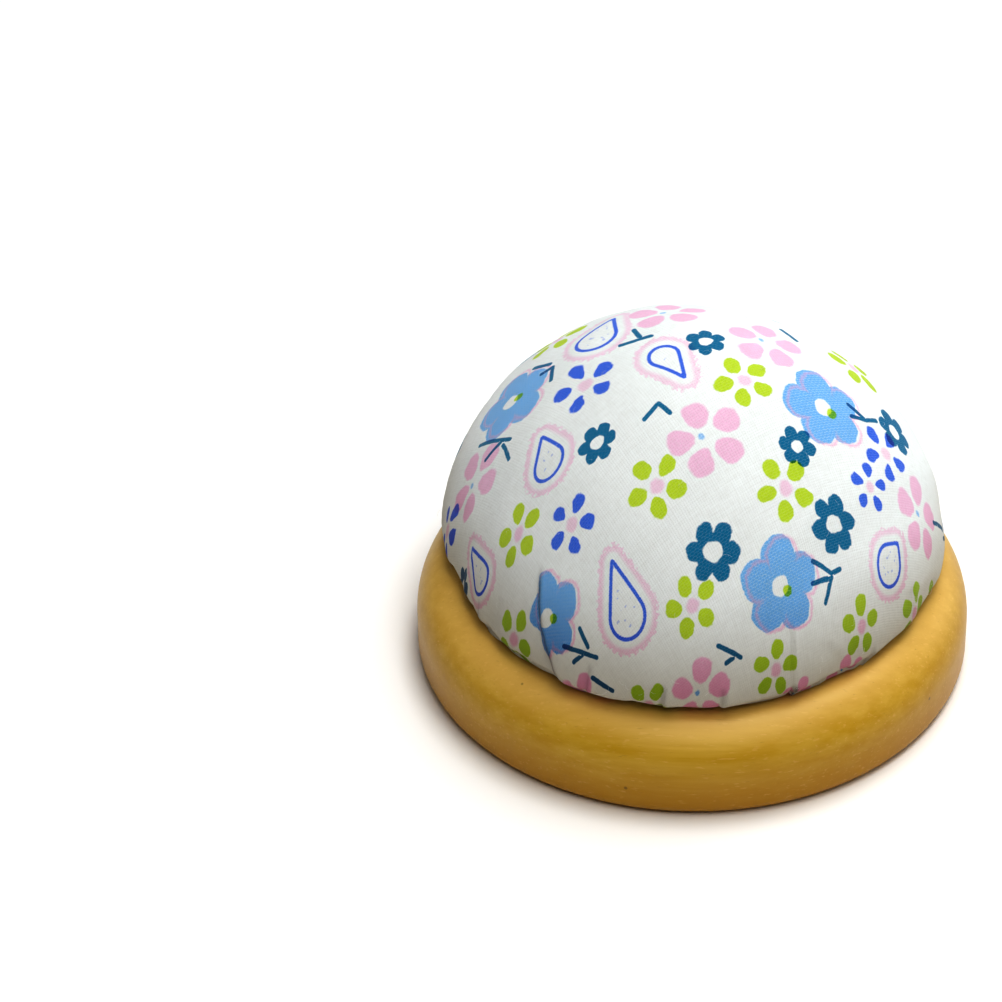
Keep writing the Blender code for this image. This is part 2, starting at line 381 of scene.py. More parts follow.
turnedPoints, turnedFaces = turnedLoop(baseProfile(), baseLook["steps"])
woodenBase = meshPiece("woodenBase", sandedByHand(turnedPoints), turnedFaces, lacqueredWood())
facesOutward(woodenBase)
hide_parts("wooden_base")
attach(woodenBase, "root")
print("wooden base turned")


# cushion cover: a round of printed cotton pulled over the filling, its hem gathered under the board

coverShape = {
    "crown": 50.6,            # height of the top
    "widest": (36.03, 16.2),  # radius and height of the bulge
    "fullness": 1.79,         # 2 is an ellipse, less is flatter at the sides
    "meetsWood": (32.65, 14.15),
    "lipCentre": (32.2, 12.8),
    "lipRadius": 1.34,
    "underside": 6.3,
    "gatherHole": 12.4,
    "thickness": 0.5,
    "stuffedOffCentre": (-0.96, 1.90),  # the bulge sits a little to one side
    "leans": (2.40, 1.41),              # and its crown a little to the other
    "leansFrom": 13.9,
    "outOfRound": (-0.035, 0.023, 0.025),
    "rowSpacing": 0.4,
    "mostSteps": 576,
}

# pulled-in folds near the rim, as points on the flat cloth in mm from its middle
# hides is how much cloth a deep fold tucks away, and dark is how strong the painted shadow along it is
coverFolds = [
    {"line": [(-27.2, -29.6), (-27.9, -32.3), (-28.6, -35.7), (-28.9, -39.0), (-28.6, -43.2),
              (-27.6, -47.0), (-26.0, -52.0)],
     "rise": 0.34, "spread": 3.2, "dip": 0.34, "dark": 1.0, "hides": 3.5},
    {"line": [(17.6, -39.5), (19.6, -43.7), (20.7, -46.2), (22.9, -49.4), (24.5, -53.0)],
     "rise": 0.5, "spread": 0.8, "dip": 0.15, "dark": 0.0},
    {"line": [(-4.2, -50.6), (-4.6, -53.0), (-5.0, -57.0)],
     "rise": 0.3, "spread": 1.6, "dip": 0.4, "dark": 0.4},
    {"line": [(7.2, -50.8), (7.5, -53.2), (7.9, -57.0)],
     "rise": 0.28, "spread": 1.6, "dip": 0.35, "dark": 0.35},
    {"line": [(22.2, -48.4), (23.3, -50.3), (24.3, -52.5)],
     "rise": 0.12, "spread": 0.8, "dip": 0.5, "dark": 1.0},
    {"line": [(-18.6, -46.2), (-20.2, -49.5), (-21.5, -53.5)],
     "rise": 0.22, "spread": 2.0, "dip": 0.22, "dark": 0.3},
    {"line": [(38.5, -36.0), (40.8, -39.5), (43.0, -42.5)],
     "rise": 0.25, "spread": 2.0, "dip": 0.25, "dark": 0.35},
    {"line": [(-44.5, -26.0), (-47.5, -29.0), (-51.0, -32.0)],
     "rise": 0.2, "spread": 2.2, "dip": 0.2, "dark": 0.4},
    {"line": [(-30.0, 38.0), (-33.0, 44.0), (-36.5, 49.0)],
     "rise": 0.3, "spread": 2.6, "dip": 0.3, "dark": 0.5},
    {"line": [(8.0, 44.0), (8.8, 50.0), (9.6, 56.0)],
     "rise": 0.35, "spread": 3.0, "dip": 0.35, "dark": 0.6},
    {"line": [(40.0, 26.0), (45.5, 30.0), (50.0, 33.0)],
     "rise": 0.25, "spread": 2.4, "dip": 0.25, "dark": 0.5},
]


foldShape = {
    "fadesIn": 0.18,          # share of its length over which a fold rises
    "lip": (-0.25, 0.35),     # from the valley side to the crest side, mm
    "valley": 0.9,
    "shadeAt": 0.24,
    "shadeWidth": 0.50,
    "tuck": (-0.75, 0.1),
    "tuckFades": 7.0,
}


def coverProfile():
    # outside line of the cover from crown to hem, as radius and height against cloth length
    look = coverShape
    r, z = look["widest"]
    power = 2.0 / look["fullness"]
    line = [(r * max(math.cos(a), 0) ** power, z + (look["crown"] - z) * math.sin(a) ** power)
            for a in np.linspace(math.pi / 2, 0, 1500)]
    contactR, contactZ = look["meetsWood"]
    for s in np.linspace(1, 0, 60)[1:]:
        line.append((r - (r - contactR) * (1 - s) ** 2, contactZ + (z - contactZ) * s))
    line += arcPoints(look["lipCentre"], look["lipRadius"], 86, 180, 30)
    side = look["lipCentre"][0] - look["lipRadius"]
    under = look["underside"]
    line += [(side, 10.0)]
    line += arcPoints((side - 1.2, under + 1.2), 1.2, 0, -90, 12)
    line += [(look["gatherHole"], under)]
    line = np.array(line)
    length = np.concatenate([[0], np.cumsum(np.hypot(*np.diff(line, axis=0).T))])
    return length, line


clothLength, clothLine = coverProfile()
hemLength = clothLength[-1]
rimLength = clothLength[np.argmin(np.hypot(*(clothLine - coverShape["meetsWood"]).T))]


def radiusAndHeight(length):
    return [np.interp(length, clothLength, clothLine[:, i]) for i in (0, 1)]


def profileAt(length):
    # radius and height of the cover at a length of cloth, then the way out of it
    radius, height = radiusAndHeight(length)
    step = 0.25
    radiusBefore, heightBefore = radiusAndHeight(np.maximum(length - step, 0))
    radiusAfter, heightAfter = radiusAndHeight(np.minimum(length + step, hemLength))
    outward, upward = radiusAfter - radiusBefore, heightAfter - heightBefore
    size = np.maximum(np.hypot(outward, upward), 1e-9)
    return radius, height, -upward / size, outward / size


def easing(value, low, high):
    t = np.clip((value - low) / (high - low), 0, 1)
    return t * t * (3 - 2 * t)


def onCover(turn, length, lift):
    # the place on the cover of a point of the flat cloth, lifted along its normal
    look = coverShape
    radius, height, outR, outZ = profileAt(length)
    dome = easing(height, look["meetsWood"][1], 15.2) * (length < rimLength)
    low, top = look["leansFrom"], look["crown"]
    upward = np.clip((height - low) / (top - low), 0, 1)
    two, cosThree, sinThree = look["outOfRound"]
    uneven = two * np.sin(2 * turn) + cosThree * np.cos(3 * turn) + sinThree * np.sin(3 * turn)
    across = radius * (1 + dome * uneven) + lift * outR
    x = across * np.cos(turn) + dome * (look["stuffedOffCentre"][0] + look["leans"][0] * upward)
    y = across * np.sin(turn) + dome * (look["stuffedOffCentre"][1] + look["leans"][1] * upward)
    return np.stack([x, y, height + lift * outZ], -1)


def crownPoint(lift):
    return onCover(np.zeros(1), np.zeros(1), lift)[0]


def coverRing(turns, length, lift):
    return onCover(turns, np.full(len(turns), length), lift)


def foldAt(x, y, fold):
    # lift, painted shadow and tucked cloth that one fold gives at flat cloth points
    shape = foldShape
    line = np.array(fold["line"])
    pieces = np.hypot(*np.diff(line, axis=0).T)
    best = np.full(x.shape, 1e9)
    signed = np.zeros(x.shape)
    along = np.zeros(x.shape)
    walked = 0.0
    for start, end, size in zip(line[:-1], line[1:], pieces):
        direction = (end - start) / size
        px, py = x - start[0], y - start[1]
        inside = np.clip(px * direction[0] + py * direction[1], 0, size)
        gap = np.hypot(px - inside * direction[0], py - inside * direction[1])
        side = np.sign(direction[0] * py - direction[1] * px)
        closer = gap < best
        best = np.where(closer, gap, best)
        signed = np.where(closer, side * gap, signed)
        along = np.where(closer, walked + inside, along)
        walked += size
    strength = easing(along, 0, shape["fadesIn"] * pieces.sum())
    crestSide = easing(signed, *shape["lip"])
    crest = fold["rise"] * np.exp(-np.maximum(signed, 0) / fold["spread"]) * crestSide
    dip = -fold["dip"] * np.exp(-np.maximum(-signed, 0) / shape["valley"]) * (1 - crestSide)
    dark = fold["dark"] * np.exp(-(np.abs(signed - shape["shadeAt"]) / shape["shadeWidth"]) ** 2)
    tucked = fold.get("hides", 0.0) * strength * np.exp(np.minimum(signed, 0) / shape["tuckFades"])
    return strength * (crest + dip), strength * dark, tucked * (1 - easing(signed, *shape["tuck"]))


clothTest = {
    "steps": 132,
    "rows": 40,
    "frames": 24,
    "bigger": 10.0,       # the solver behaves better on a large model
    "pastRim": 6.0,
    "spareFrom": (34.0, 57.0),
    "plainWaves": 7,      # slower waves than this would change the outline
    "tallestPucker": 0.22,
    "solver": {
        "quality": 6,
        "mass": 0.3,
        "tension_stiffness": 18,
        "compression_stiffness": 18,
        "shear_stiffness": 6,
        "bending_stiffness": 0.3,
        "vertex_group_mass": "rim",
        "pin_stiffness": 1.0,
        "use_pressure": True,
        "uniform_pressure_force": 3.0,
        "vertex_group_shrink": "spareCloth",
        "shrink_min": 0.0,
        "shrink_max": -0.07,  # spare cloth at the rim
    },
}


def simulatedPuckers():
    # a coarse copy of the cover is blown up with spare cloth at its rim, which buckles it
    look = clothTest
    steps, rows = look["steps"], look["rows"]
    lengths = np.linspace(0, rimLength + look["pastRim"], rows + 1)[1:]
    turns = roundTurn(steps)
    grid = np.stack([coverRing(turns, s, 0.0) for s in lengths])
    normal = np.stack([coverRing(turns, s, 1.0) for s in lengths]) - grid
    points, faces = fannedRings(crownPoint(0.0), list(grid))
    test = meshPiece("clothTest", points * look["bigger"], faces, cottonMaterial)
    rim = test.vertex_groups.new(name="rim")
    rim.add(list(range(1 + (rows - 1) * steps, 1 + rows * steps)), 1.0, "REPLACE")
    spare = test.vertex_groups.new(name="spareCloth")
    for j, s in enumerate(lengths):
        weight = float(easing(s, *look["spareFrom"]))
        spare.add(list(range(1 + j * steps, 1 + (j + 1) * steps)), weight, "REPLACE")
    cloth = test.modifiers.new("cloth", "CLOTH")
    for name, value in look["solver"].items():
        setattr(cloth.settings, name, value)
    cloth.settings.effector_weights.gravity = 0
    cloth.collision_settings.use_collision = False
    cloth.point_cache.frame_start = 1
    cloth.point_cache.frame_end = look["frames"]
    for number in range(1, look["frames"] + 1):
        bpy.context.scene.frame_set(number)
    graph = bpy.context.evaluated_depsgraph_get()
    result = test.evaluated_get(graph).to_mesh()
    moved = np.empty(len(points) * 3)
    result.vertices.foreach_get("co", moved)
    moved = moved.reshape(-1, 3)[1:].reshape(rows, steps, 3) / mm / look["bigger"]
    bpy.context.scene.frame_set(1)
    bpy.data.objects.remove(test)
    waves = np.fft.rfft(((moved - grid) * normal).sum(-1), axis=1)
    waves[:, :look["plainWaves"]] = 0
    pucker = np.fft.irfft(waves, steps, axis=1)
    print("puckers before the cap, mm:", round(float(np.abs(pucker).max()), 3))
    top = look["tallestPucker"]
    return lengths, top * np.tanh(pucker / top)


def puckerAt(puckers, turn, length):
    # the height of the puckers between the rows and columns of the coarse cloth
    lengths, heights = puckers
    rows, columns = heights.shape
    column = turn / (2 * math.pi) * columns % columns
    row = np.clip(np.interp(length, lengths, np.arange(rows)), 0, rows - 1.001)
    firstColumn, firstRow = np.floor(column).astype(int), np.floor(row).astype(int)
    right, down = easing(column - firstColumn, 0, 1), easing(row - firstRow, 0, 1)
    nextColumn = (firstColumn + 1) % columns
    upper, lower = (heights[r, firstColumn % columns] * (1 - right) + heights[r, nextColumn] * right
                    for r in (firstRow, firstRow + 1))
    return upper * (1 - down) + lower * down


# the print, read as millimetres on the flat cloth: x to the right, y to the back, middle at the crown
# each flower is x, y, angle of its first petal, radius
coverPrint = {
    "bloom": [
        (-31.0, 5.0, 10, 7.1), (-27.0, -38.0, 18, 6.7), (17.7, -7.2, 47, 6.6),
        (14.4, -35.5, 36, 6.9), (54.0, 4.0, 20, 6.5),
    ],
    "pinkFlower": [
        (-41.0, -4.5, 20, 6.6), (-5.4, 10.6, 18, 5.5), (8.5, 2.4, 18, 5.6), (0.5, -16.6, 46, 5.8),
        (3.0, -52.3, 24, 5.7), (40.0, -11.8, 48, 6.5), (-22.6, -52.5, 58, 5.4),
        (24.6, -50.8, 30, 4.2), (36.0, -43.9, 0, 4.8),
    ],
    "limeFlower": [
        (5.4, -7.0, 53, 4.5), (-32.1, -22.9, 15, 5.0), (-36.8, -38.0, 30, 5.2),
        (-6.6, -23.3, -10, 4.7), (12.9, -22.2, -8, 4.8), (-0.2, -39.7, -28, 4.4),
        (-7.6, -54.5, 54, 4.6), (16.9, -47.2, 29, 4.5), (23.3, 8.0, -92, 4.8),
        (33.2, -35.7, 50, 4.8), (47.0, -24.8, 62, 4.9), (-22.0, 16.5, -77, 4.8),
        (54.5, -16.5, 20, 4.6),
    ],
    "tealFlower": [
        (-0.2, 0.0, 30, 2.9), (-16.4, -15.2, 5, 3.3), (14.2, -15.6, 5, 3.1),
        (2.6, -32.4, 3, 4.3), (22.2, -24.6, 35, 4.3), (31.3, -1.4, 15, 3.8),
        (-51.0, -18.5, 10, 3.5),
    ],
    "royalFlower": [
        (-18.6, -2.9, 30, 5.2), (-20.9, -26.2, -8, 4.5), (29.6, -8.0, 8, 4.6),
        (27.6, -15.9, 40, 3.9), (-51.0, -4.0, 0, 5.0),
    ],
}

# teardrops: middle of the round end, its radius, and the tip
coverDrops = [
    ((-15.6, 7.5), 3.1, (-13.0, 13.0)), ((-25.3, -14.6), 2.8, (-26.3, -9.1)),
    ((-43.0, -23.7), 2.4, (-44.5, -16.4)), ((-6.4, -2.3), 2.2, (-3.1, -6.9)),
    ((-11.1, -40.8), 3.1, (-13.5, -33.0)), ((35.4, -24.5), 3.1, (35.8, -20.4)),
]

# teal twigs, each a short brush line
coverTwigs = [
    (-12.3, 3.0, -7.6, 3.0), (-10.0, 6.2, -9.2, 3.4), (-38.5, 2.3, -32.3, -4.0),
    (-37.7, -3.0, -34.1, -2.7), (-33.8, -3.8, -33.0, -8.0), (-26.0, 9.5, -23.2, 7.3),
    (-25.0, 6.1, -22.9, 5.9), (-22.9, 5.9, -23.6, 2.6), (-23.8, -42.9, -17.4, -45.9),
    (-22.1, -45.7, -20.2, -45.0), (-20.0, -41.2, -18.8, -44.0), (-18.6, -48.7, -14.6, -51.2),
    (-8.7, -13.4, -6.7, -11.2), (-6.7, -11.2, -4.9, -12.7), (19.6, -30.9, 23.6, -31.4),
    (23.6, -31.4, 25.0, -30.3), (20.4, -33.9, 23.2, -32.3), (23.7, -31.9, 23.6, -35.7),
    (5.1, -45.0, 9.5, -46.3), (7.0, -47.4, 8.1, -46.6), (21.9, -3.8, 25.1, -4.7),
    (25.1, -4.7, 27.1, -3.1), (22.6, -5.8, 25.1, -4.7), (11.5, 9.0, 13.5, 6.7),
    (54.0, 2.0, 50.4, -4.4), (49.3, -3.6, 44.6, -8.0),
]

printRepeat = {
    "shifts": [(11.0, 52.0), (-49.0, 50.0), (62.0, 47.0)],
    "startsAt": 17.0,   # the repeats fill the cloth behind this line
    "edge": 66.0,
    "clearance": 0.86,
}


def repeatedPrint():
    # the same motifs again over the back, left out where they would land on another one
    flowers = {kind: list(places) for kind, places in coverPrint.items()}
    drops, twigs = list(coverDrops), list(coverTwigs)
    taken = [(x, y, size) for places in flowers.values() for x, y, turn, size in places]
    taken += [(*middle, radius + 2.5) for middle, radius, tip in drops]
    taken += [((a + c) / 2, (b + d) / 2, 1.5) for a, b, c, d in twigs]

    def free(x, y, size):
        if y < printRepeat["startsAt"] or math.hypot(x, y) > printRepeat["edge"]:
            return False
        gap = printRepeat["clearance"]
        return all(math.hypot(x - a, y - b) > gap * (size + c) for a, b, c in taken)

    for dx, dy in printRepeat["shifts"]:
        for kind, places in coverPrint.items():
            for x, y, turn, size in places:
                if free(x + dx, y + dy, size):
                    flowers[kind].append((x + dx, y + dy, turn, size))
                    taken.append((x + dx, y + dy, size))
        for (x, y), radius, (tipX, tipY) in coverDrops:
            if free(x + dx, y + dy, radius + 2.0):
                drops.append(((x + dx, y + dy), radius, (tipX + dx, tipY + dy)))
                taken.append((x + dx, y + dy, radius + 2.5))
        for a, b, c, d in coverTwigs:
            if free(a + dx, b + dy, 1.6):
                twigs.append((a + dx, b + dy, c + dx, d + dy))
                taken.append(((a + c) / 2 + dx, (b + d) / 2 + dy, 1.0))
    return flowers, drops, twigs

inks = {
    "cotton": paint(244, 247, 246),
    "coarseYarn": paint(236, 238, 236),
    # painted shade between the threads
    "weaveGapShade": paint(186, 186, 184),
    # painted warm shade towards the rim
    "rimShadeTone": paint(190, 178, 157),
    # painted shadow along the folds
    "foldShadowTone": paint(96, 66, 62),
    "bloomBlue": paint(134, 196, 250),
    "pink": paint(255, 208, 234),
    "lime": paint(208, 230, 58),
    "teal": paint(0, 126, 170),
    "royal": paint(74, 124, 240),
    # painted shade: how much each ink is laid on again towards the rim
    "rimShadeOnInk": 0.9,
    "rimShadeBetween": (32.0, 13.0),  # heights, from no painted shade to the most of it
    "rimShadeMost": 0.8,
    "edgeSoftness": 0.11,     # mm
    "wander": 1.092,          # how far the drawing strays from a true shape
    "fray": 0.22,
    "showsThrough": {"bloomBlue": 0.34, "pink": 0.2},  # white thread showing in a printed area
    "weavePitch": 0.39,       # mm between threads
    "weaveTurn": 55.0,
    "printWidth": 200.0,      # mm of flat cloth across the UV map
}

# usual radius, petals, reach of their middles, half length, half width, egg shape, joined
# middle, and hole: the last six are in radii, and -1 is none
flowerKinds = {
    "bloom": (6.8, 5, 0.60, 0.41, 0.43, 0.0, 0.60, 0.215),
    "pinkFlower": (5.6, 5, 0.64, 0.36, 0.31, 0.22, -1.0, -1.0),
    "limeFlower": (4.7, 5, 0.67, 0.33, 0.27, 0.08, -1.0, -1.0),
    "tealFlower": (3.7, 6, 0.66, 0.34, 0.33, 0.0, 0.66, 0.34),
    "royalFlower": (4.6, 5, 0.67, 0.31, 0.23, 0.35, -1.0, -1.0),
}

# the small marks inside the flowers: x, y, radius, how soft, and how strong
flowerMarks = {
    "limeDot": (1.5, -0.4, 0.75, 1.0, 1.0),
    "blueDot": (-0.7, 0.1, 0.42, 1.4, 0.8),
    "pinkHeart": (0.15, 0.0, 1.05, 3.0, 0.75),
    "royalHeart": (0.1, 0.0, 1.0, 3.0, 0.65),
}


def flowerGroup():
    # distance from a flower's edge, in its own radii, less than nothing inside it
    tree = bpy.data.node_groups.new("flowerShape", "ShaderNodeTree")
    tree.interface.new_socket(name="Place", in_out="INPUT", socket_type="NodeSocketVector")
    for name in ("Petals", "Reach", "Long", "Wide", "Egg", "Disc", "Hole"):
        tree.interface.new_socket(name=name, in_out="INPUT", socket_type="NodeSocketFloat")
    tree.interface.new_socket(name="Edge", in_out="OUTPUT", socket_type="NodeSocketFloat")
    given = tree.nodes.new("NodeGroupInput").outputs
    result = tree.nodes.new("NodeGroupOutput")
    x, y, turn = parted(tree, given["Place"])
    angle = calc(tree, "SUBTRACT", calc(tree, "ARCTAN2", y, x), turn)
    sector = calc(tree, "DIVIDE", 2 * math.pi, given["Petals"])
    whole = calc(tree, "ROUND", calc(tree, "DIVIDE", angle, sector))
    folded = calc(tree, "SUBTRACT", angle, times(tree, whole, sector))
    radius = calc(tree, "SQRT", calc(tree, "ADD", times(tree, x, x), times(tree, y, y)))
    out = times(tree, radius, calc(tree, "COSINE", folded))
    beside = times(tree, radius, calc(tree, "SINE", folded))
    along = calc(tree, "DIVIDE", calc(tree, "SUBTRACT", out, given["Reach"]), given["Long"])
    wide = times(tree, given["Wide"], calc(tree, "MULTIPLY_ADD", along, given["Egg"], 1.0))
    across = calc(tree, "DIVIDE", beside, calc(tree, "MAXIMUM", wide, 0.05))
    oval = calc(tree, "ADD", times(tree, along, along), times(tree, across, across))
    oval = calc(tree, "SQRT", oval)
    petal = times(tree, calc(tree, "SUBTRACT", oval, 1.0), given["Wide"])
    disc = calc(tree, "SUBTRACT", radius, given["Disc"])
    edge = calc(tree, "SMOOTH_MIN", petal, disc, 0.06)
    edge = calc(tree, "MAXIMUM", edge, calc(tree, "SUBTRACT", given["Hole"], radius))
    feed(tree, result.inputs[0], edge)
    return tree


def motifInks(tree, flat, grain):
    # how much of each ink lies at a point of the flat cloth, in the order of printing
    group = flowerGroup()
    sideways = (1.0, 1.0, 0.0)

    # the hand-drawn wander of every edge
    middle = (0.5, 0.5, 0.5)
    drift = vectorCalc(tree, "SUBTRACT", noiseAt(tree, flat, 0.42, 2.0, 0.5, True), middle)
    fray = vectorCalc(tree, "SUBTRACT", noiseAt(tree, flat, 3.2, 2.0, 0.6, True), middle)
    drift = vectorCalc(tree, "ADD", vectorCalc(tree, "SCALE", drift, inks["wander"]),
                       vectorCalc(tree, "SCALE", fray, inks["fray"]))
    drift = vectorCalc(tree, "MULTIPLY", drift, sideways)

    def placeIn(kind, shift=0.0):
        size = flowerKinds[kind][0]
        place = vectorCalc(tree, "ADD", attribute(tree, kind),
                           vectorCalc(tree, "SCALE", drift, 1 / size))
        return vectorCalc(tree, "ADD", place, (shift / size, 0.0, 0.0))

    def edgeOf(kind, place):
        sockets = dict(enumerate((place, *flowerKinds[kind][1:])))
        return addNode(tree, "ShaderNodeGroup", sockets, node_tree=group)

    def inked(kind, edge, soft=1.0):
        soft = soft * inks["edgeSoftness"] / flowerKinds[kind][0]
        return smoothStep(tree, edge, -soft, soft, 1.0, 0.0)

    def flowerInk(kind, soft=1.0):
        return inked(kind, edgeOf(kind, placeIn(kind)).outputs[0], soft)

    def markInk(kind, mark):
        x, y, radius, soft, strong = flowerMarks[mark]
        size = flowerKinds[kind][0]
        away = vectorCalc(tree, "SUBTRACT", vectorCalc(tree, "MULTIPLY", placeIn(kind), sideways),
                          (x / size, y / size, 0.0))
        edge = calc(tree, "SUBTRACT", vectorCalc(tree, "LENGTH", away), radius / size)
        return times(tree, inked(kind, edge, soft), strong)

    def strongest(first, *others):
        for other in others:
            first = calc(tree, "MAXIMUM", first, other)
        return first

    # a furry pink line was printed before the blue of each bloom, a little off its edge
    outline = edgeOf("bloom", placeIn("bloom", shift=-0.8))
    outline.inputs["Hole"].default_value = -1.0
    outline = calc(tree, "ABSOLUTE", calc(tree, "ADD", outline.outputs[0], 0.03))
    furry = calc(tree, "MULTIPLY_ADD", noiseAt(tree, flat, 2.2, 1.0, 0.5), 0.09, -0.01)
    pinkLine = inked("bloom", calc(tree, "SUBTRACT", outline, furry), 3.0)
    bloomInk = times(tree, flowerInk("bloom"), calc(tree, "MULTIPLY_ADD", pinkLine, -0.42, 1.0))

    # teardrops: the attribute is the distance from the outline
    away = attribute(tree, "teardrop", "Fac")
    rough = calc(tree, "ADD", away, calc(tree, "MULTIPLY_ADD", grain, 0.28, -0.14))
    royalLine = smoothStep(tree, calc(tree, "ABSOLUTE", rough), 0.20, 0.36, 1.0, 0.0)
    spikes = noiseAt(tree, flat, 1.7, 1.0, 0.5)
    spiky = calc(tree, "ADD", away, calc(tree, "MULTIPLY_ADD", spikes, -1.9, 0.95))
    halo = times(tree, smoothStep(tree, away, 0.9, 1.8),
                 smoothStep(tree, spiky, 2.05, 2.5, 1.0, 0.0),
                 smoothStep(tree, grain, 0.25, 0.75, 0.35, 0.9))
    freckle = smoothStep(tree, noiseAt(tree, flat, 1.2, 1.0, 0.5), 0.63, 0.70)
    freckle = times(tree, freckle, smoothStep(tree, away, -0.9, -1.2), 0.35)

    # twigs: x is how far past an end, y how far to the side
    twigAway = vectorCalc(tree, "ADD", attribute(tree, "twig"),
                          vectorCalc(tree, "SCALE", drift, 0.35))
    twigInk = smoothStep(tree, vectorCalc(tree, "LENGTH", twigAway), 0.28, 0.46, 1.0, 0.0)

    return {
        "bloomBlue": strongest(bloomInk, markInk("pinkFlower", "blueDot")),
        "pink": strongest(flowerInk("pinkFlower", 1.8), markInk("limeFlower", "pinkHeart"), halo,
                          markInk("royalFlower", "royalHeart"), times(tree, pinkLine, 0.85)),
        "lime": strongest(flowerInk("limeFlower"), markInk("bloom", "limeDot")),
        "teal": strongest(flowerInk("tealFlower"), twigInk),
        "royal": strongest(flowerInk("royalFlower"), royalLine, freckle),
    }


def plainWeave(tree, flat):
    # warp and weft cross on a checked grid: the warp that shows, both together, and the slubs
    turned = stretched(tree, flat, (1.0, 1.0, 1.0), inks["weaveTurn"])
    alongWeft, alongWarp = parted(tree, turned)[:2]
    turns = math.pi / inks["weavePitch"]
    bend = grainAlong(tree, turned, (1.4, 0.05, 1.0), 2.0, 0.5)
    u = calc(tree, "MULTIPLY_ADD", alongWeft, turns, times(tree, bend, 2.0))
    bend = grainAlong(tree, turned, (0.05, 1.4, 1.0), 2.0, 0.5)
    v = calc(tree, "MULTIPLY_ADD", alongWarp, turns, times(tree, bend, 2.0))
    crossing = times(tree, calc(tree, "COSINE", u), calc(tree, "COSINE", v))
    over = calc(tree, "MULTIPLY_ADD", crossing, 0.5, 0.5)
    warp = times(tree, calc(tree, "ABSOLUTE", calc(tree, "SINE", u)), over)
    weft = times(tree, calc(tree, "ABSOLUTE", calc(tree, "SINE", v)),
                 calc(tree, "SUBTRACT", 1.0, over))
    slubs = calc(tree, "ADD", grainAlong(tree, turned, (0.4, 3.0, 1.0), 3.0, 0.6),
                 grainAlong(tree, turned, (3.0, 0.4, 1.0), 3.0, 0.6))
    return warp, calc(tree, "ADD", warp, weft), times(tree, slubs, 0.5)


def printedCotton():
    material, tree, shader = newMaterial("printedCotton")
    uv = addNode(tree, "ShaderNodeUVMap", uv_map="cloth").outputs[0]
    flat = vectorCalc(tree, "SCALE", uv, inks["printWidth"])
    grain = noiseAt(tree, flat, 4.5, 2.0, 0.7)
    warp, weave, yarn = plainWeave(tree, flat)
    colour = mixColour(tree, smoothStep(tree, yarn, 0.35, 0.7), inks["cotton"], inks["coarseYarn"])
    # painted shade between the threads
    gaps = smoothStep(tree, weave, 0.45, 0.15)
    colour = mixColour(tree, times(tree, gaps, 0.20), colour, inks["weaveGapShade"])

    # multiplies an ink, the painted rim shade or the painted fold shadow over the colour
    def inkOrShadeOver(colour, amount, inkOrShadeName):
        return mixColour(tree, amount, colour, mixColour(tree, 1.0, colour, inks[inkOrShadeName], "MULTIPLY"))

    # painted warm shade, a little darker and yellower towards the rim
    height = parted(tree, placeInMm(tree))[2]
    rimShade = smoothStep(tree, height, *inks["rimShadeBetween"])
    colour = inkOrShadeOver(colour, times(tree, rimShade, inks["rimShadeMost"]), "rimShadeTone")
    # white thread shows through the ink here and there
    worn = calc(tree, "MULTIPLY_ADD", grain, 0.7, times(tree, warp, 0.55))
    worn = smoothStep(tree, worn, 0.48, 0.80)
    for ink, amount in motifInks(tree, flat, grain).items():
        thin = inks["showsThrough"].get(ink, 0.1)
        amount = times(tree, amount, calc(tree, "MULTIPLY_ADD", worn, -thin, 1.0))
        colour = inkOrShadeOver(colour, amount, ink)
        # painted shade: each ink is laid on a second time towards the rim, so it darkens there
        colour = inkOrShadeOver(colour, times(tree, amount, times(tree, rimShade, inks["rimShadeOnInk"])), ink)
    # painted shadow along each fold
    foldShadowAmount = attribute(tree, "foldShade", "Fac")
    colour = inkOrShadeOver(colour, times(tree, foldShadowAmount, 0.8), "foldShadowTone")
    coarse = bump(tree, yarn, 0.22, 0.08 * mm)
    feedAll(tree, shader, {
        "Base Color": colour, "Roughness": calc(tree, "MULTIPLY_ADD", weave, -0.08, 0.90),
        "Specular IOR Level": 0.25, "Sheen Weight": 0.12, "Sheen Roughness": 0.5,
        "Normal": bump(tree, weave, 0.5, 0.06 * mm, coarse)})
    return material


def coverRows():
    # each row's cloth length, steps and lift: the outer face, then the inner face back to the crown
    look = coverShape
    count = int(round(rimLength / look["rowSpacing"]))
    lengths = list(np.linspace(0, rimLength, count + 1)[1:])
    lengths += list(rimLength + np.cumsum([0.45, 0.45, 0.5, 0.6, 0.8, 1.2, 1.5, 1.5, 0.9, 0.6, 0.6]))
    lengths += list(np.linspace(lengths[-1], hemLength, 16)[1:])
    rows = []
    for s in lengths:
        radius = radiusAndHeight(s)[0]
        share = 8 if radius < 4.5 else 4 if radius < 9.5 else 2 if radius < 20 else 1
        rows.append((s, look["mostSteps"] // (2 if s > rimLength + 0.1 else share), 0.0))
    for s in list(np.linspace(hemLength - 0.3, 4.0, 44)) + [2.0]:
        rows.append((s, look["mostSteps"] // (4 if s > 12 else 8), -look["thickness"]))
    return rows


def nearestOf(gaps):
    # which of several distances is the least, point by point
    best = next(gaps)
    chosen = np.zeros(best.shape, int)
    for i, gap in enumerate(gaps, 1):
        closer = gap < best
        best, chosen = np.where(closer, gap, best), np.where(closer, i, chosen)
    return chosen


def nearestFlower(x, y, faceX, faceY, places):
    # where each face corner lies in the flower nearest to its face: x and y in radii, and the turn
    gaps = (np.hypot(faceX - cx, faceY - cy) / size for cx, cy, turn, size in places)
    cx, cy, turn, size = np.array(places)[nearestOf(gaps)].T
    return np.stack([(x - cx) / size, (y - cy) / size, np.radians(turn)], -1)


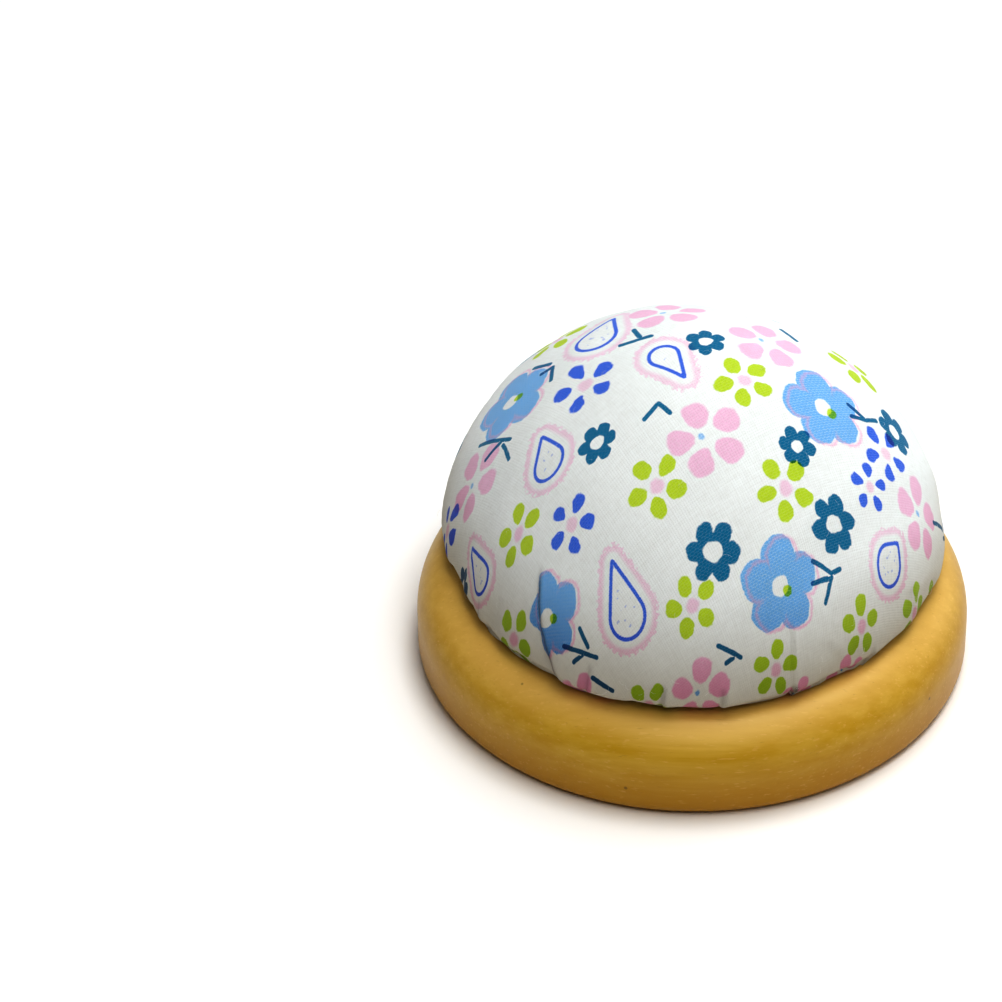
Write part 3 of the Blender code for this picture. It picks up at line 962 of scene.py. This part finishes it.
def twigGap(x, y, twig):
    # how far a point is past either end of a twig, and how far to its side
    ax, ay, bx, by = twig
    size = np.hypot(bx - ax, by - ay)
    wayX, wayY = (bx - ax) / size, (by - ay) / size
    along = (x - ax) * wayX + (y - ay) * wayY
    return along - np.clip(along, 0, size), (x - ax) * wayY - (y - ay) * wayX


def nearestTwig(x, y, faceX, faceY, twigs):
    gaps = (np.hypot(*twigGap(faceX, faceY, twig)) for twig in twigs)
    past, side = twigGap(x, y, np.array(twigs)[nearestOf(gaps)].T)
    return np.stack([past, side, np.zeros(len(x))], -1)


def nearestDrop(x, y, drops):
    # distance from the nearest teardrop's outline, less than nothing inside
    best = np.full(x.shape, 1e9)
    tip = 0.12
    for (cx, cy), radius, (tipX, tipY) in drops:
        height = math.hypot(tipX - cx, tipY - cy)
        ax, ay = (tipX - cx) / height, (tipY - cy) / height
        up = (x - cx) * ax + (y - cy) * ay
        side = np.abs((x - cx) * ay - (y - cy) * ax)
        lean = (radius - tip) / height
        straight = math.sqrt(max(1 - lean * lean, 0.02))
        k = -lean * side + straight * up
        roundEnd = np.hypot(side, up) - radius
        point = np.hypot(side, up - height) - tip
        flank = side * straight + up * lean - radius
        gap = np.where(k < 0, roundEnd, np.where(k > straight * height, point, flank))
        best = np.minimum(best, gap)
    return best


def facesBetween(a, b, n, m):
    # faces from a row of n points that starts at a, to the next row, of m points from b
    faces = []
    few = min(n, m)
    ratio = max(n, m) // few
    half = ratio // 2
    for i in range(few):
        j = (i + 1) % few
        if n == m:
            faces.append((a + i, b + i, b + j, a + j))
        elif m > n:
            lower = [b + (i * ratio + q) % m for q in range(ratio + 1)]
            faces += [(a + (i if q < half else j), lower[q], lower[q + 1]) for q in range(ratio)]
            faces.append((a + i, lower[half], a + j))
        else:
            upper = [a + (i * ratio + q) % n for q in range(ratio + 1)]
            faces += [(upper[q], b + (i if q < half else j), upper[q + 1]) for q in range(ratio)]
            faces.append((upper[half], b + i, b + j))
    return faces


def coverFaces(counts):
    # a fan at the crown, the rows, and a fan that closes the inner face
    starts = [1 + sum(counts[:k]) for k in range(len(counts) + 1)]
    faces = [(0, starts[0] + i, starts[0] + (i + 1) % counts[0]) for i in range(counts[0])]
    for k in range(len(counts) - 1):
        faces += facesBetween(starts[k], starts[k + 1], counts[k], counts[k + 1])
    last, end, n = starts[-2], starts[-1], counts[-1]
    return faces + [(last + i, end, last + (i + 1) % n) for i in range(n)]


def stampPrint(data, x, y, dark):
    # what the printed cotton reads: the flat cloth, and where each corner lies in its motif
    corner = np.empty(len(data.loops), int)
    first, size = (np.empty(len(data.polygons), int) for i in range(2))
    data.loops.foreach_get("vertex_index", corner)
    data.polygons.foreach_get("loop_start", first)
    data.polygons.foreach_get("loop_total", size)
    cornerX, cornerY = x[corner], y[corner]
    faceX, faceY = (np.repeat(np.add.reduceat(c, first) / size, size) for c in (cornerX, cornerY))
    cloth = data.uv_layers.new(name="cloth")
    flat = np.stack([cornerX, cornerY], -1) / inks["printWidth"]
    cloth.uv.foreach_set("vector", flat.ravel())

    def keep(name, values, domain="CORNER"):
        kind, field = ("FLOAT_VECTOR", "vector") if values.ndim == 2 else ("FLOAT", "value")
        made = data.attributes.new(name, kind, domain)
        made.data.foreach_set(field, values.astype(np.float32).ravel())

    flowers, drops, twigs = repeatedPrint()
    # cloth tucked away in a fold takes its share of the bloom with it
    tucked = sum(foldAt(cornerX, cornerY, fold)[2] for fold in coverFolds)
    for kind, places in flowers.items():
        hidden = tucked if kind == "bloom" else 0
        keep(kind, nearestFlower(cornerX - hidden, cornerY, faceX, faceY, places))
    keep("twig", nearestTwig(cornerX, cornerY, faceX, faceY, twigs))
    keep("teardrop", nearestDrop(x, y, drops), "POINT")
    keep("foldShade", dark, "POINT")


def makeCover(puckers):
    rows = coverRows()
    counts = [steps for s, steps, lift in rows]
    turn = np.concatenate([[0], *[roundTurn(steps) for steps in counts], [0]])
    length = np.repeat([0] + [s for s, steps, lift in rows] + [0], [1, *counts, 1])
    lift = np.repeat([0] + [lift for s, steps, lift in rows] + [-coverShape["thickness"]],
                     [1, *counts, 1])
    x, y = length * np.cos(turn), length * np.sin(turn)
    folds = [foldAt(x, y, fold) for fold in coverFolds]
    shape = sum(rise for rise, dark, tucked in folds)
    # soft unevenness of the stuffing
    shape += 0.10 * np.sin(0.31 * x + 1.3) * np.sin(0.27 * y + 0.4) + 0.07 * np.sin(0.5 * x - 0.43 * y)
    if puckers is not None:
        shape += puckerAt(puckers, turn, length) * easing(length, 36.0, 52.0)
    visible = 1 - easing(length, rimLength - 0.5, rimLength + 1.5)
    gathers = easing(length, rimLength + 12.0, hemLength) * 0.22 * np.sin(48 * turn)
    points = onCover(turn, length, lift + shape * visible + gathers)
    cover = meshPiece("cushionCover", points, coverFaces(counts), cottonMaterial)
    facesOutward(cover, merge=False)
    stampPrint(cover.data, x, y, np.max([dark for rise, dark, tucked in folds], axis=0))
    return cover


cottonMaterial = printedCotton()
puckers = None
puckers = simulatedPuckers()
print("cloth settled")
cushionCover = makeCover(puckers)
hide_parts("cushion_cover")
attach(cushionCover, "root")
print("cover made,", len(cushionCover.data.polygons), "faces")


# filling: carded polyester fibre, packed tight under the cover

fillingLook = {
    "belowCover": 0.9,        # how far inside the outer face of the cloth
    "lumps": 0.9,
    "steps": 144,
    "rows": 64,
    "boardTop": 12.0,
    "fibre": paint(238, 237, 232),
    "shade": paint(206, 204, 198),
}


def cardedFibre():
    look = fillingLook
    material, tree, shader = newMaterial("cardedFibre")
    place = placeInMm(tree)
    swirl = noiseAt(tree, place, 0.11, 2.0, 0.5, True)
    place = vectorCalc(tree, "ADD", place, vectorCalc(tree, "SCALE", swirl, 14.0))
    strands = grainAlong(tree, place, (0.35, 2.6, 1.1), 5.0, 0.72)
    colour = mixColour(tree, smoothStep(tree, strands, 0.32, 0.66), look["shade"], look["fibre"])
    feedAll(tree, shader, {"Base Color": colour, "Roughness": 0.95, "Sheen Weight": 0.4,
                           "Normal": bump(tree, strands, 0.9, 0.6 * mm)})
    return material


def makeFilling():
    look = fillingLook
    turns = roundTurn(look["steps"])
    board = look["boardTop"]
    rings = []
    for s in np.linspace(0, rimLength - 0.4, look["rows"] + 1)[1:]:
        x, y = s * np.cos(turns), s * np.sin(turns)
        lump = np.sin(0.42 * x + 0.9) * np.sin(0.38 * y) + np.sin(0.7 * x - 0.6 * y + 2.0)
        sink = look["belowCover"] + look["lumps"] * (0.5 + 0.25 * lump)
        rings.append(coverRing(turns, s, -sink))
    # below the rim it fills the well down to the board
    for radius, height in ((29.9, 13.2), (28.7, 12.4), (26.5, board), (18.0, board), (9.0, board)):
        rings.append(levelRing(turns, radius, height))
    top = crownPoint(-look["belowCover"])
    filling = meshPiece("cushionFilling", *fannedRings(top, rings, (0, 0, board)), cardedFibre())
    facesOutward(filling)
    return filling


cushionFilling = makeFilling()
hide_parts("cushion_filling")
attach(cushionFilling, "root")
print("filling packed")


# backing board: its CAD shape is right, so it only takes its material

boardLook = {
    "springwood": paint(226, 198, 152),
    "summerwood": paint(196, 160, 112),
    "plyEdge": paint(132, 92, 52),
    "ply": 2.67,              # thickness of two plies
    "edgeFrom": 29.2,
}


def birchPly():
    look = boardLook
    material, tree, shader = newMaterial("birchPly")
    place = placeInMm(tree)
    grain = grainAlong(tree, place, (0.05, 0.9, 0.9), 4.0, 0.6)
    colour = mixColour(tree, smoothStep(tree, grain, 0.35, 0.66), look["summerwood"],
                       look["springwood"])
    # three plies show on the edge
    ply = calc(tree, "SINE", times(tree, parted(tree, place)[2], 2 * math.pi / look["ply"]))
    out = vectorCalc(tree, "LENGTH", vectorCalc(tree, "MULTIPLY", place, (1.0, 1.0, 0.0)))
    onEdge = calc(tree, "GREATER_THAN", out, look["edgeFrom"])
    dark = times(tree, smoothStep(tree, ply, 0.1, 0.5), onEdge, 0.6)
    feedAll(tree, shader, {"Base Color": mixColour(tree, dark, colour, look["plyEdge"]),
                           "Roughness": 0.7, "Normal": bump(tree, grain, 0.3, 0.08 * mm)})
    return material


# the washer and the screw are both zinc plated

zincLook = {
    "zincWasher": (paint(188, 188, 184), 0.32),
    "zincScrew": (paint(196, 196, 190), 0.24),
    "clouded": paint(214, 214, 208),
}


def zincPlate(name):
    tint, roughness = zincLook[name]
    material, tree, shader = newMaterial(name)
    place = placeInMm(tree)
    cloud = noiseAt(tree, place, 0.9, 3.0, 0.6)
    scratch = grainAlong(tree, place, (0.6, 9.0, 3.0), 3.0, 0.6, turn=25)
    colour = mixColour(tree, smoothStep(tree, cloud, 0.35, 0.7), tint, zincLook["clouded"])
    rough = calc(tree, "MULTIPLY_ADD", scratch, 0.22, roughness)
    feedAll(tree, shader, {"Base Color": colour, "Metallic": 1.0, "Roughness": rough,
                           "Normal": bump(tree, scratch, 0.15, 0.02 * mm)})
    return material


def giveMaterial(node, material):
    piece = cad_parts[node]
    if not piece.material_slots:
        piece.data.materials.append(material)
    for slot in piece.material_slots:
        slot.link = "OBJECT"
        slot.material = material


giveMaterial("backing_disc", birchPly())
giveMaterial("screw_washer", zincPlate("zincWasher"))
print("board and washer finished")


# fixing screw: pan head with a cross recess, and a thread that climbs into the board

screwLook = {
    "headRadius": 3.4,
    "headRound": 1.1,
    "headEdge": 0.15,
    "headFrom": 0.65,
    "headThick": 1.6,
    "headSteps": 64,
    "crest": 1.75,
    "core": 1.25,
    "pitch": 1.4,
    "ringsPerTurn": 12,
    "threadFrom": 3.0,
    "threadTo": 11.2,
    "taper": 1.6,
    "steps": 40,
    "recess": (3.6, 0.72, 1.05),   # arm length, arm width, depth
    "recessTurn": 20,
}


def screwShank():
    # the thread is a wave in radius that climbs one pitch a turn
    look = screwLook
    turns = roundTurn(look["steps"])
    low, high = look["headFrom"] + look["headThick"] - 0.1, look["threadTo"]
    rings = []
    for z in np.arange(low, high, look["pitch"] / look["ringsPerTurn"]):
        saw = np.abs(((z / look["pitch"] - turns / (2 * math.pi)) % 1.0) - 0.5) * 2
        tooth = np.clip((saw - 0.35) / 0.5, 0, 1)
        cut = easing(z, look["threadFrom"] - 0.4, look["threadFrom"] + 0.4)
        taper = easing(high - z, 0.0, look["taper"])
        core = look["core"] * (0.35 + 0.65 * taper) + 0.12 * (1 - cut)
        radius = core + (look["crest"] - look["core"]) * tooth * cut * taper
        rings.append(levelRing(turns, radius, z))
    return fannedRings((0, 0, low), rings, (0, 0, high))


def recessCutter(turn, material):
    look = screwLook
    arm, width, depth = look["recess"]
    half, thin = arm / 2, width / 2
    corners = [(-half, -thin), (half, -thin), (half, thin), (-half, thin)]
    points = [Vector((x, y, look["headFrom"] - 1.0)) for x, y in corners]
    points += [Vector((0.55 * x, 0.8 * y, look["headFrom"] + depth)) for x, y in corners]
    spin = Matrix.Rotation(math.radians(turn), 3, "Z")
    faces = [(3, 2, 1, 0), (4, 5, 6, 7)]
    faces += [(i, (i + 1) % 4, 4 + (i + 1) % 4, 4 + i) for i in range(4)]
    cutter = meshPiece("recess", [spin @ p for p in points], faces, material, smooth=False)
    facesOutward(cutter)
    return cutter


def makeScrew(material):
    look = screwLook
    low, radius = look["headFrom"], look["headRadius"]
    top, bend, edge = low + look["headThick"], look["headRound"], look["headEdge"]
    profile = arcPoints((radius - bend, low + bend), bend, -90, 0, 8)
    profile += [(radius, top - edge), (radius - edge, top)]
    turns = roundTurn(look["headSteps"])
    rings = [levelRing(turns, r, z) for r, z in profile]
    screw = meshPiece("fixingScrew", *fannedRings((0, 0, low), rings, (0, 0, top)), material)
    facesOutward(screw)
    cutters = [recessCutter(look["recessTurn"] + turn, material) for turn in (0, 90)]
    for cutter in cutters:
        cut = screw.modifiers.new("recess", "BOOLEAN")
        cut.operation = "DIFFERENCE"
        cut.solver = "EXACT"
        cut.object = cutter
    asPlainMesh(screw)
    for cutter in cutters:
        bpy.data.objects.remove(cutter)
    shank = meshPiece("shank", *screwShank(), material)
    facesOutward(shank)
    joinOn(screw, shank)
    screw.data.set_sharp_from_angle(angle=math.radians(40))
    return screw


fixingScrew = makeScrew(zincPlate("zincScrew"))
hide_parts("fixing_screw")
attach(fixingScrew, "root")
print("screw threaded")


# gathering thread: two plies twisted together, drawn through the hem and knotted

threadLook = {
    "sizes": {                # mm
        "Ring Radius": 11.3,
        "Height": 6.85,
        "Ply Radius": 0.12,
        "Ply Gap": 0.11,
        "Wave Size": 0.16,
    },
    "counts": {"Twists": 74, "Waves": 26, "Points": 720},
    "knotSize": 0.17,
    "knotThick": 0.12,
    "endThick": 0.1,
    "cotton": paint(236, 232, 222),
    "betweenFibres": paint(206, 200, 186),
}


def twistedThread():
    look = threadLook
    material, tree, shader = newMaterial("twistedThread")
    fibre = noiseAt(tree, placeInMm(tree), 6.0, 3.0, 0.7)
    colour = mixColour(tree, smoothStep(tree, fibre, 0.3, 0.7), look["betweenFibres"],
                       look["cotton"])
    feedAll(tree, shader, {"Base Color": colour, "Roughness": 0.75, "Sheen Weight": 0.25,
                           "Normal": bump(tree, fibre, 0.4, 0.03 * mm)})
    return material


def geometryTree(name, sizes, counts):
    # a modifier tree with a geometry socket and one named input for each size and each count
    tree = bpy.data.node_groups.new(name, "GeometryNodeTree")
    tree.is_modifier = True
    tree.interface.new_socket(name="Geometry", in_out="INPUT", socket_type="NodeSocketGeometry")
    kinds = dict.fromkeys(sizes, "NodeSocketFloat") | dict.fromkeys(counts, "NodeSocketInt")
    for label, kind in kinds.items():
        tree.interface.new_socket(name=label, in_out="INPUT", socket_type=kind)
    tree.interface.new_socket(name="Geometry", in_out="OUTPUT", socket_type="NodeSocketGeometry")
    return tree, tree.nodes.new("NodeGroupInput").outputs, tree.nodes.new("NodeGroupOutput")


def useTree(piece, tree, sizes, counts):
    modifier = piece.modifiers.new(tree.name, "NODES")
    modifier.node_group = tree
    values = {label: size * mm for label, size in sizes.items()} | counts
    for socket in tree.interface.items_tree:
        if socket.name in values:
            modifier[socket.identifier] = values[socket.name]
    return asPlainMesh(piece)


def endTree(tree, result, geometry, material):
    realized = addNode(tree, "GeometryNodeRealizeInstances", {"Geometry": geometry})
    finish = addNode(tree, "GeometryNodeSetMaterial", {"Geometry": realized.outputs[0],
                                                       "Material": material})
    feed(tree, result.inputs["Geometry"], finish.outputs[0])


def threadTree(material):
    look = threadLook
    tree, given, result = geometryTree("gatheringThread", look["sizes"], look["counts"])
    plies = tree.nodes.new("GeometryNodeJoinGeometry")
    section = addNode(tree, "GeometryNodeCurvePrimitiveCircle",
                      {"Resolution": 6, "Radius": given["Ply Radius"]})
    for half in (0.0, math.pi):
        ring = addNode(tree, "GeometryNodeCurvePrimitiveCircle",
                       {"Resolution": given["Points"], "Radius": given["Ring Radius"]})
        index = tree.nodes.new("GeometryNodeInputIndex").outputs[0]
        turn = times(tree, calc(tree, "DIVIDE", index, given["Points"]), 2 * math.pi)
        twist = calc(tree, "ADD", times(tree, turn, given["Twists"]), half)
        wave = times(tree, turn, given["Waves"])
        rise = times(tree, calc(tree, "SINE", wave), given["Wave Size"])
        inward = times(tree, calc(tree, "COSINE", wave), given["Wave Size"])
        outStep = calc(tree, "MULTIPLY_ADD", calc(tree, "COSINE", twist), given["Ply Gap"], inward)
        upStep = calc(tree, "MULTIPLY_ADD", calc(tree, "SINE", twist), given["Ply Gap"], rise)
        radius = calc(tree, "ADD", outStep, given["Ring Radius"])
        place = addNode(tree, "ShaderNodeCombineXYZ", {
            0: times(tree, radius, calc(tree, "COSINE", turn)),
            1: times(tree, radius, calc(tree, "SINE", turn)),
            2: calc(tree, "ADD", upStep, given["Height"])})
        laid = addNode(tree, "GeometryNodeSetPosition",
                       {"Geometry": ring.outputs["Curve"], "Position": place.outputs[0]})
        tube = addNode(tree, "GeometryNodeCurveToMesh",
                       {"Curve": laid.outputs[0], "Profile Curve": section.outputs["Curve"]})
        feed(tree, plies.inputs[0], tube.outputs[0])
    endTree(tree, result, plies.outputs[0], material)
    return tree


def knotRoutes():
    # an overhand loop, then the two cut ends
    look = threadLook
    centre = Vector((look["sizes"]["Ring Radius"] - 0.35, 0, look["sizes"]["Height"]))
    loop = [centre + look["knotSize"] * 0.5 * Vector((
        math.sin(3 * t), math.sin(t) + 2 * math.sin(2 * t), math.cos(t) - 2 * math.cos(2 * t)))
        for t in np.linspace(0, 2 * math.pi, 60)]
    routes = [(loop, look["knotThick"])]
    for side in (-1, 1):
        end = [centre + Vector((-0.1 - 1.6 * t, side * (0.15 + 0.9 * t * t), 0.12 * math.sin(3 * t)))
               for t in np.linspace(0, 1, 14)]
        routes.append((end, look["endThick"]))
    return routes


def makeThread():
    look = threadLook
    material = twistedThread()
    thread = meshPiece("gatheringThread", [(0, 0, 0)], [], material)
    useTree(thread, threadTree(material), look["sizes"], look["counts"])
    facesOutward(thread, merge=False)
    for route, thickness in knotRoutes():
        tube = meshPiece("knot", *tubeAlong(route, thickness, 8), material)
        facesOutward(tube)
        joinOn(thread, tube)
    thread.data.polygons.foreach_set("use_smooth", [True] * len(thread.data.polygons))
    return thread


gatheringThread = makeThread()
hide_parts("gathering_thread")
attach(gatheringThread, "root")
print("gathering thread tied")


# a little loose fibre that every cotton cover has

fuzzLook = {
    "sizes": {"Length": 1.3, "Thickness": 0.013, "Above": 15.0},  # mm
    "counts": {"Per Square Metre": 52000, "Seed": 4},
    "fibre": paint(250, 250, 248),
    "shade": paint(232, 232, 230),
}


def fuzzTree(material):
    look = fuzzLook
    tree, given, result = geometryTree("cottonFuzz", look["sizes"], look["counts"])
    place = tree.nodes.new("GeometryNodeInputPosition").outputs[0]
    normal = tree.nodes.new("GeometryNodeInputNormal").outputs[0]
    # the outer face of the cloth, above the wood
    outward = calc(tree, "GREATER_THAN", vectorCalc(tree, "DOT_PRODUCT", normal, place), 0.0)
    above = calc(tree, "GREATER_THAN", parted(tree, place)[2], given["Above"])
    scatter = addNode(tree, "GeometryNodeDistributePointsOnFaces", {
        "Mesh": given["Geometry"], "Selection": times(tree, above, outward),
        "Density": given["Per Square Metre"], "Seed": given["Seed"]})
    # one strand, bent over, a unit long
    strand = addNode(tree, "GeometryNodeCurveQuadraticBezier", {
        "Resolution": 5, "Start": (0, 0, -0.05), "Middle": (0.25, 0.1, 0.62),
        "End": (0.95, -0.15, 0.12)})
    ratio = calc(tree, "DIVIDE", given["Thickness"], given["Length"])
    section = addNode(tree, "GeometryNodeCurvePrimitiveCircle", {"Resolution": 3, "Radius": ratio})
    tube = addNode(tree, "GeometryNodeCurveToMesh", {
        "Curve": strand.outputs[0], "Profile Curve": section.outputs["Curve"], "Fill Caps": True})
    spin = addNode(tree, "FunctionNodeRandomValue", {
        0: (-0.5, -0.5, -math.pi), 1: (0.5, 0.5, math.pi), "Seed": given["Seed"]},
        data_type="FLOAT_VECTOR")
    rotate = addNode(tree, "FunctionNodeRotateRotation", {
        0: scatter.outputs["Rotation"], 1: spin.outputs[0]}, rotation_space="LOCAL")
    grow = addNode(tree, "FunctionNodeRandomValue", {2: 0.35, 3: 1.0, "Seed": given["Seed"]},
                   data_type="FLOAT")
    grown = addNode(tree, "GeometryNodeInstanceOnPoints", {
        "Points": scatter.outputs["Points"], "Instance": tube.outputs[0],
        "Rotation": rotate.outputs[0], "Scale": times(tree, grow.outputs[1], given["Length"])})
    endTree(tree, result, grown.outputs[0], material)
    return tree


def looseFibre():
    material, tree, shader = newMaterial("looseFibre")
    shade = noiseAt(tree, placeInMm(tree), 0.8, 2.0, 0.5)
    feedAll(tree, shader, {
        "Base Color": mixColour(tree, shade, fuzzLook["shade"], fuzzLook["fibre"]),
        "Roughness": 0.8})
    return material


def makeFuzz():
    fuzz = bpy.data.objects.new("cottonFuzz", cushionCover.data.copy())
    bpy.context.scene.collection.objects.link(fuzz)
    useTree(fuzz, fuzzTree(looseFibre()), fuzzLook["sizes"], fuzzLook["counts"])
    facesOutward(fuzz)
    return fuzz


cottonFuzz = makeFuzz()
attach(cottonFuzz, "root")
print("fuzz grown,", len(cottonFuzz.data.polygons), "faces")


# light, floor and camera

stageLook = {
    "lamps": {                # place in metres, size, watts and colour
        "key": ((0.22, 0.30, 1.14), 0.9, 12.4, (0.97, 1.0, 1.02)),
        "front": ((0.16, -0.46, 1.06), 0.9, 6.2, (1.0, 0.98, 0.94)),
        "left": ((-1.12, 0.20, 0.50), 0.9, 1.0, (1.0, 0.97, 0.95)),
        "window": ((0.92, 0.72, 0.33), 0.7, 2.2, (0.98, 1.0, 1.02)),
    },
    "aim": (0, 0, 0.025),
    "world": 0.03,
    "contrast": 0.72,
    "floorColour": (0.98, 0.965, 0.95, 1),
    "floorReach": 1500,
}


def softLamp(name, place, size, watts, colour):
    lamp = bpy.data.lights.new(name, "AREA")
    lamp.color = colour
    lamp.shape = "DISK"
    lamp.size = size
    lamp.energy = watts
    holder = bpy.data.objects.new(name, lamp)
    holder.location = place
    towards = Vector(stageLook["aim"]) - Vector(place)
    holder.rotation_euler = towards.to_track_quat("-Z", "Y").to_euler()
    bpy.context.scene.collection.objects.link(holder)


def paleRoom():
    world = bpy.data.worlds.new("paleRoom")
    world.use_nodes = True
    background = world.node_tree.nodes["Background"]
    feedAll(world.node_tree, background, {"Color": (1, 1, 1, 1), "Strength": stageLook["world"]})
    return world


def paleFloor():
    material, tree, shader = newMaterial("paleFloor")
    feedAll(tree, shader, {"Base Color": stageLook["floorColour"], "Roughness": 0.9})
    reach = stageLook["floorReach"]
    corners = [(-reach, -reach, 0), (reach, -reach, 0), (reach, reach, 0), (-reach, reach, 0)]
    floor = meshPiece("floor", corners, [(0, 1, 2, 3)], material, smooth=False)
    floor.location.z = -0.02 * mm
    return floor


for lampName, settings in stageLook["lamps"].items():
    softLamp(lampName, *settings)
bpy.context.scene.world = paleRoom()
bpy.context.scene.view_settings.view_transform = "Standard"
bpy.context.scene.view_settings.gamma = stageLook["contrast"]
floor = paleFloor()

cameraLook = {
    "elevation": 37.7,
    "distance": 0.650,
    "aim": (0.0, 0.0, 0.020),
    "lens": 162.5,
    "roll": 0.99,
    "shift": (-0.1921, 0.0274),
}


def placeCamera():
    look = cameraLook
    camera = bpy.data.cameras.new("camera")
    camera.lens = look["lens"]
    camera.sensor_width = 36.0
    camera.shift_x, camera.shift_y = look["shift"]
    camera.clip_start = 0.01
    holder = bpy.data.objects.new("camera", camera)
    up = math.radians(look["elevation"])
    back = Vector((0, -math.cos(up), math.sin(up)))
    holder.location = Vector(look["aim"]) + back * look["distance"]
    turn = (-back).to_track_quat("-Z", "Y").to_matrix()
    turn = turn @ Matrix.Rotation(math.radians(look["roll"]), 3, "Z")
    holder.rotation_euler = turn.to_euler()
    bpy.context.scene.collection.objects.link(holder)
    bpy.context.scene.camera = holder


placeCamera()
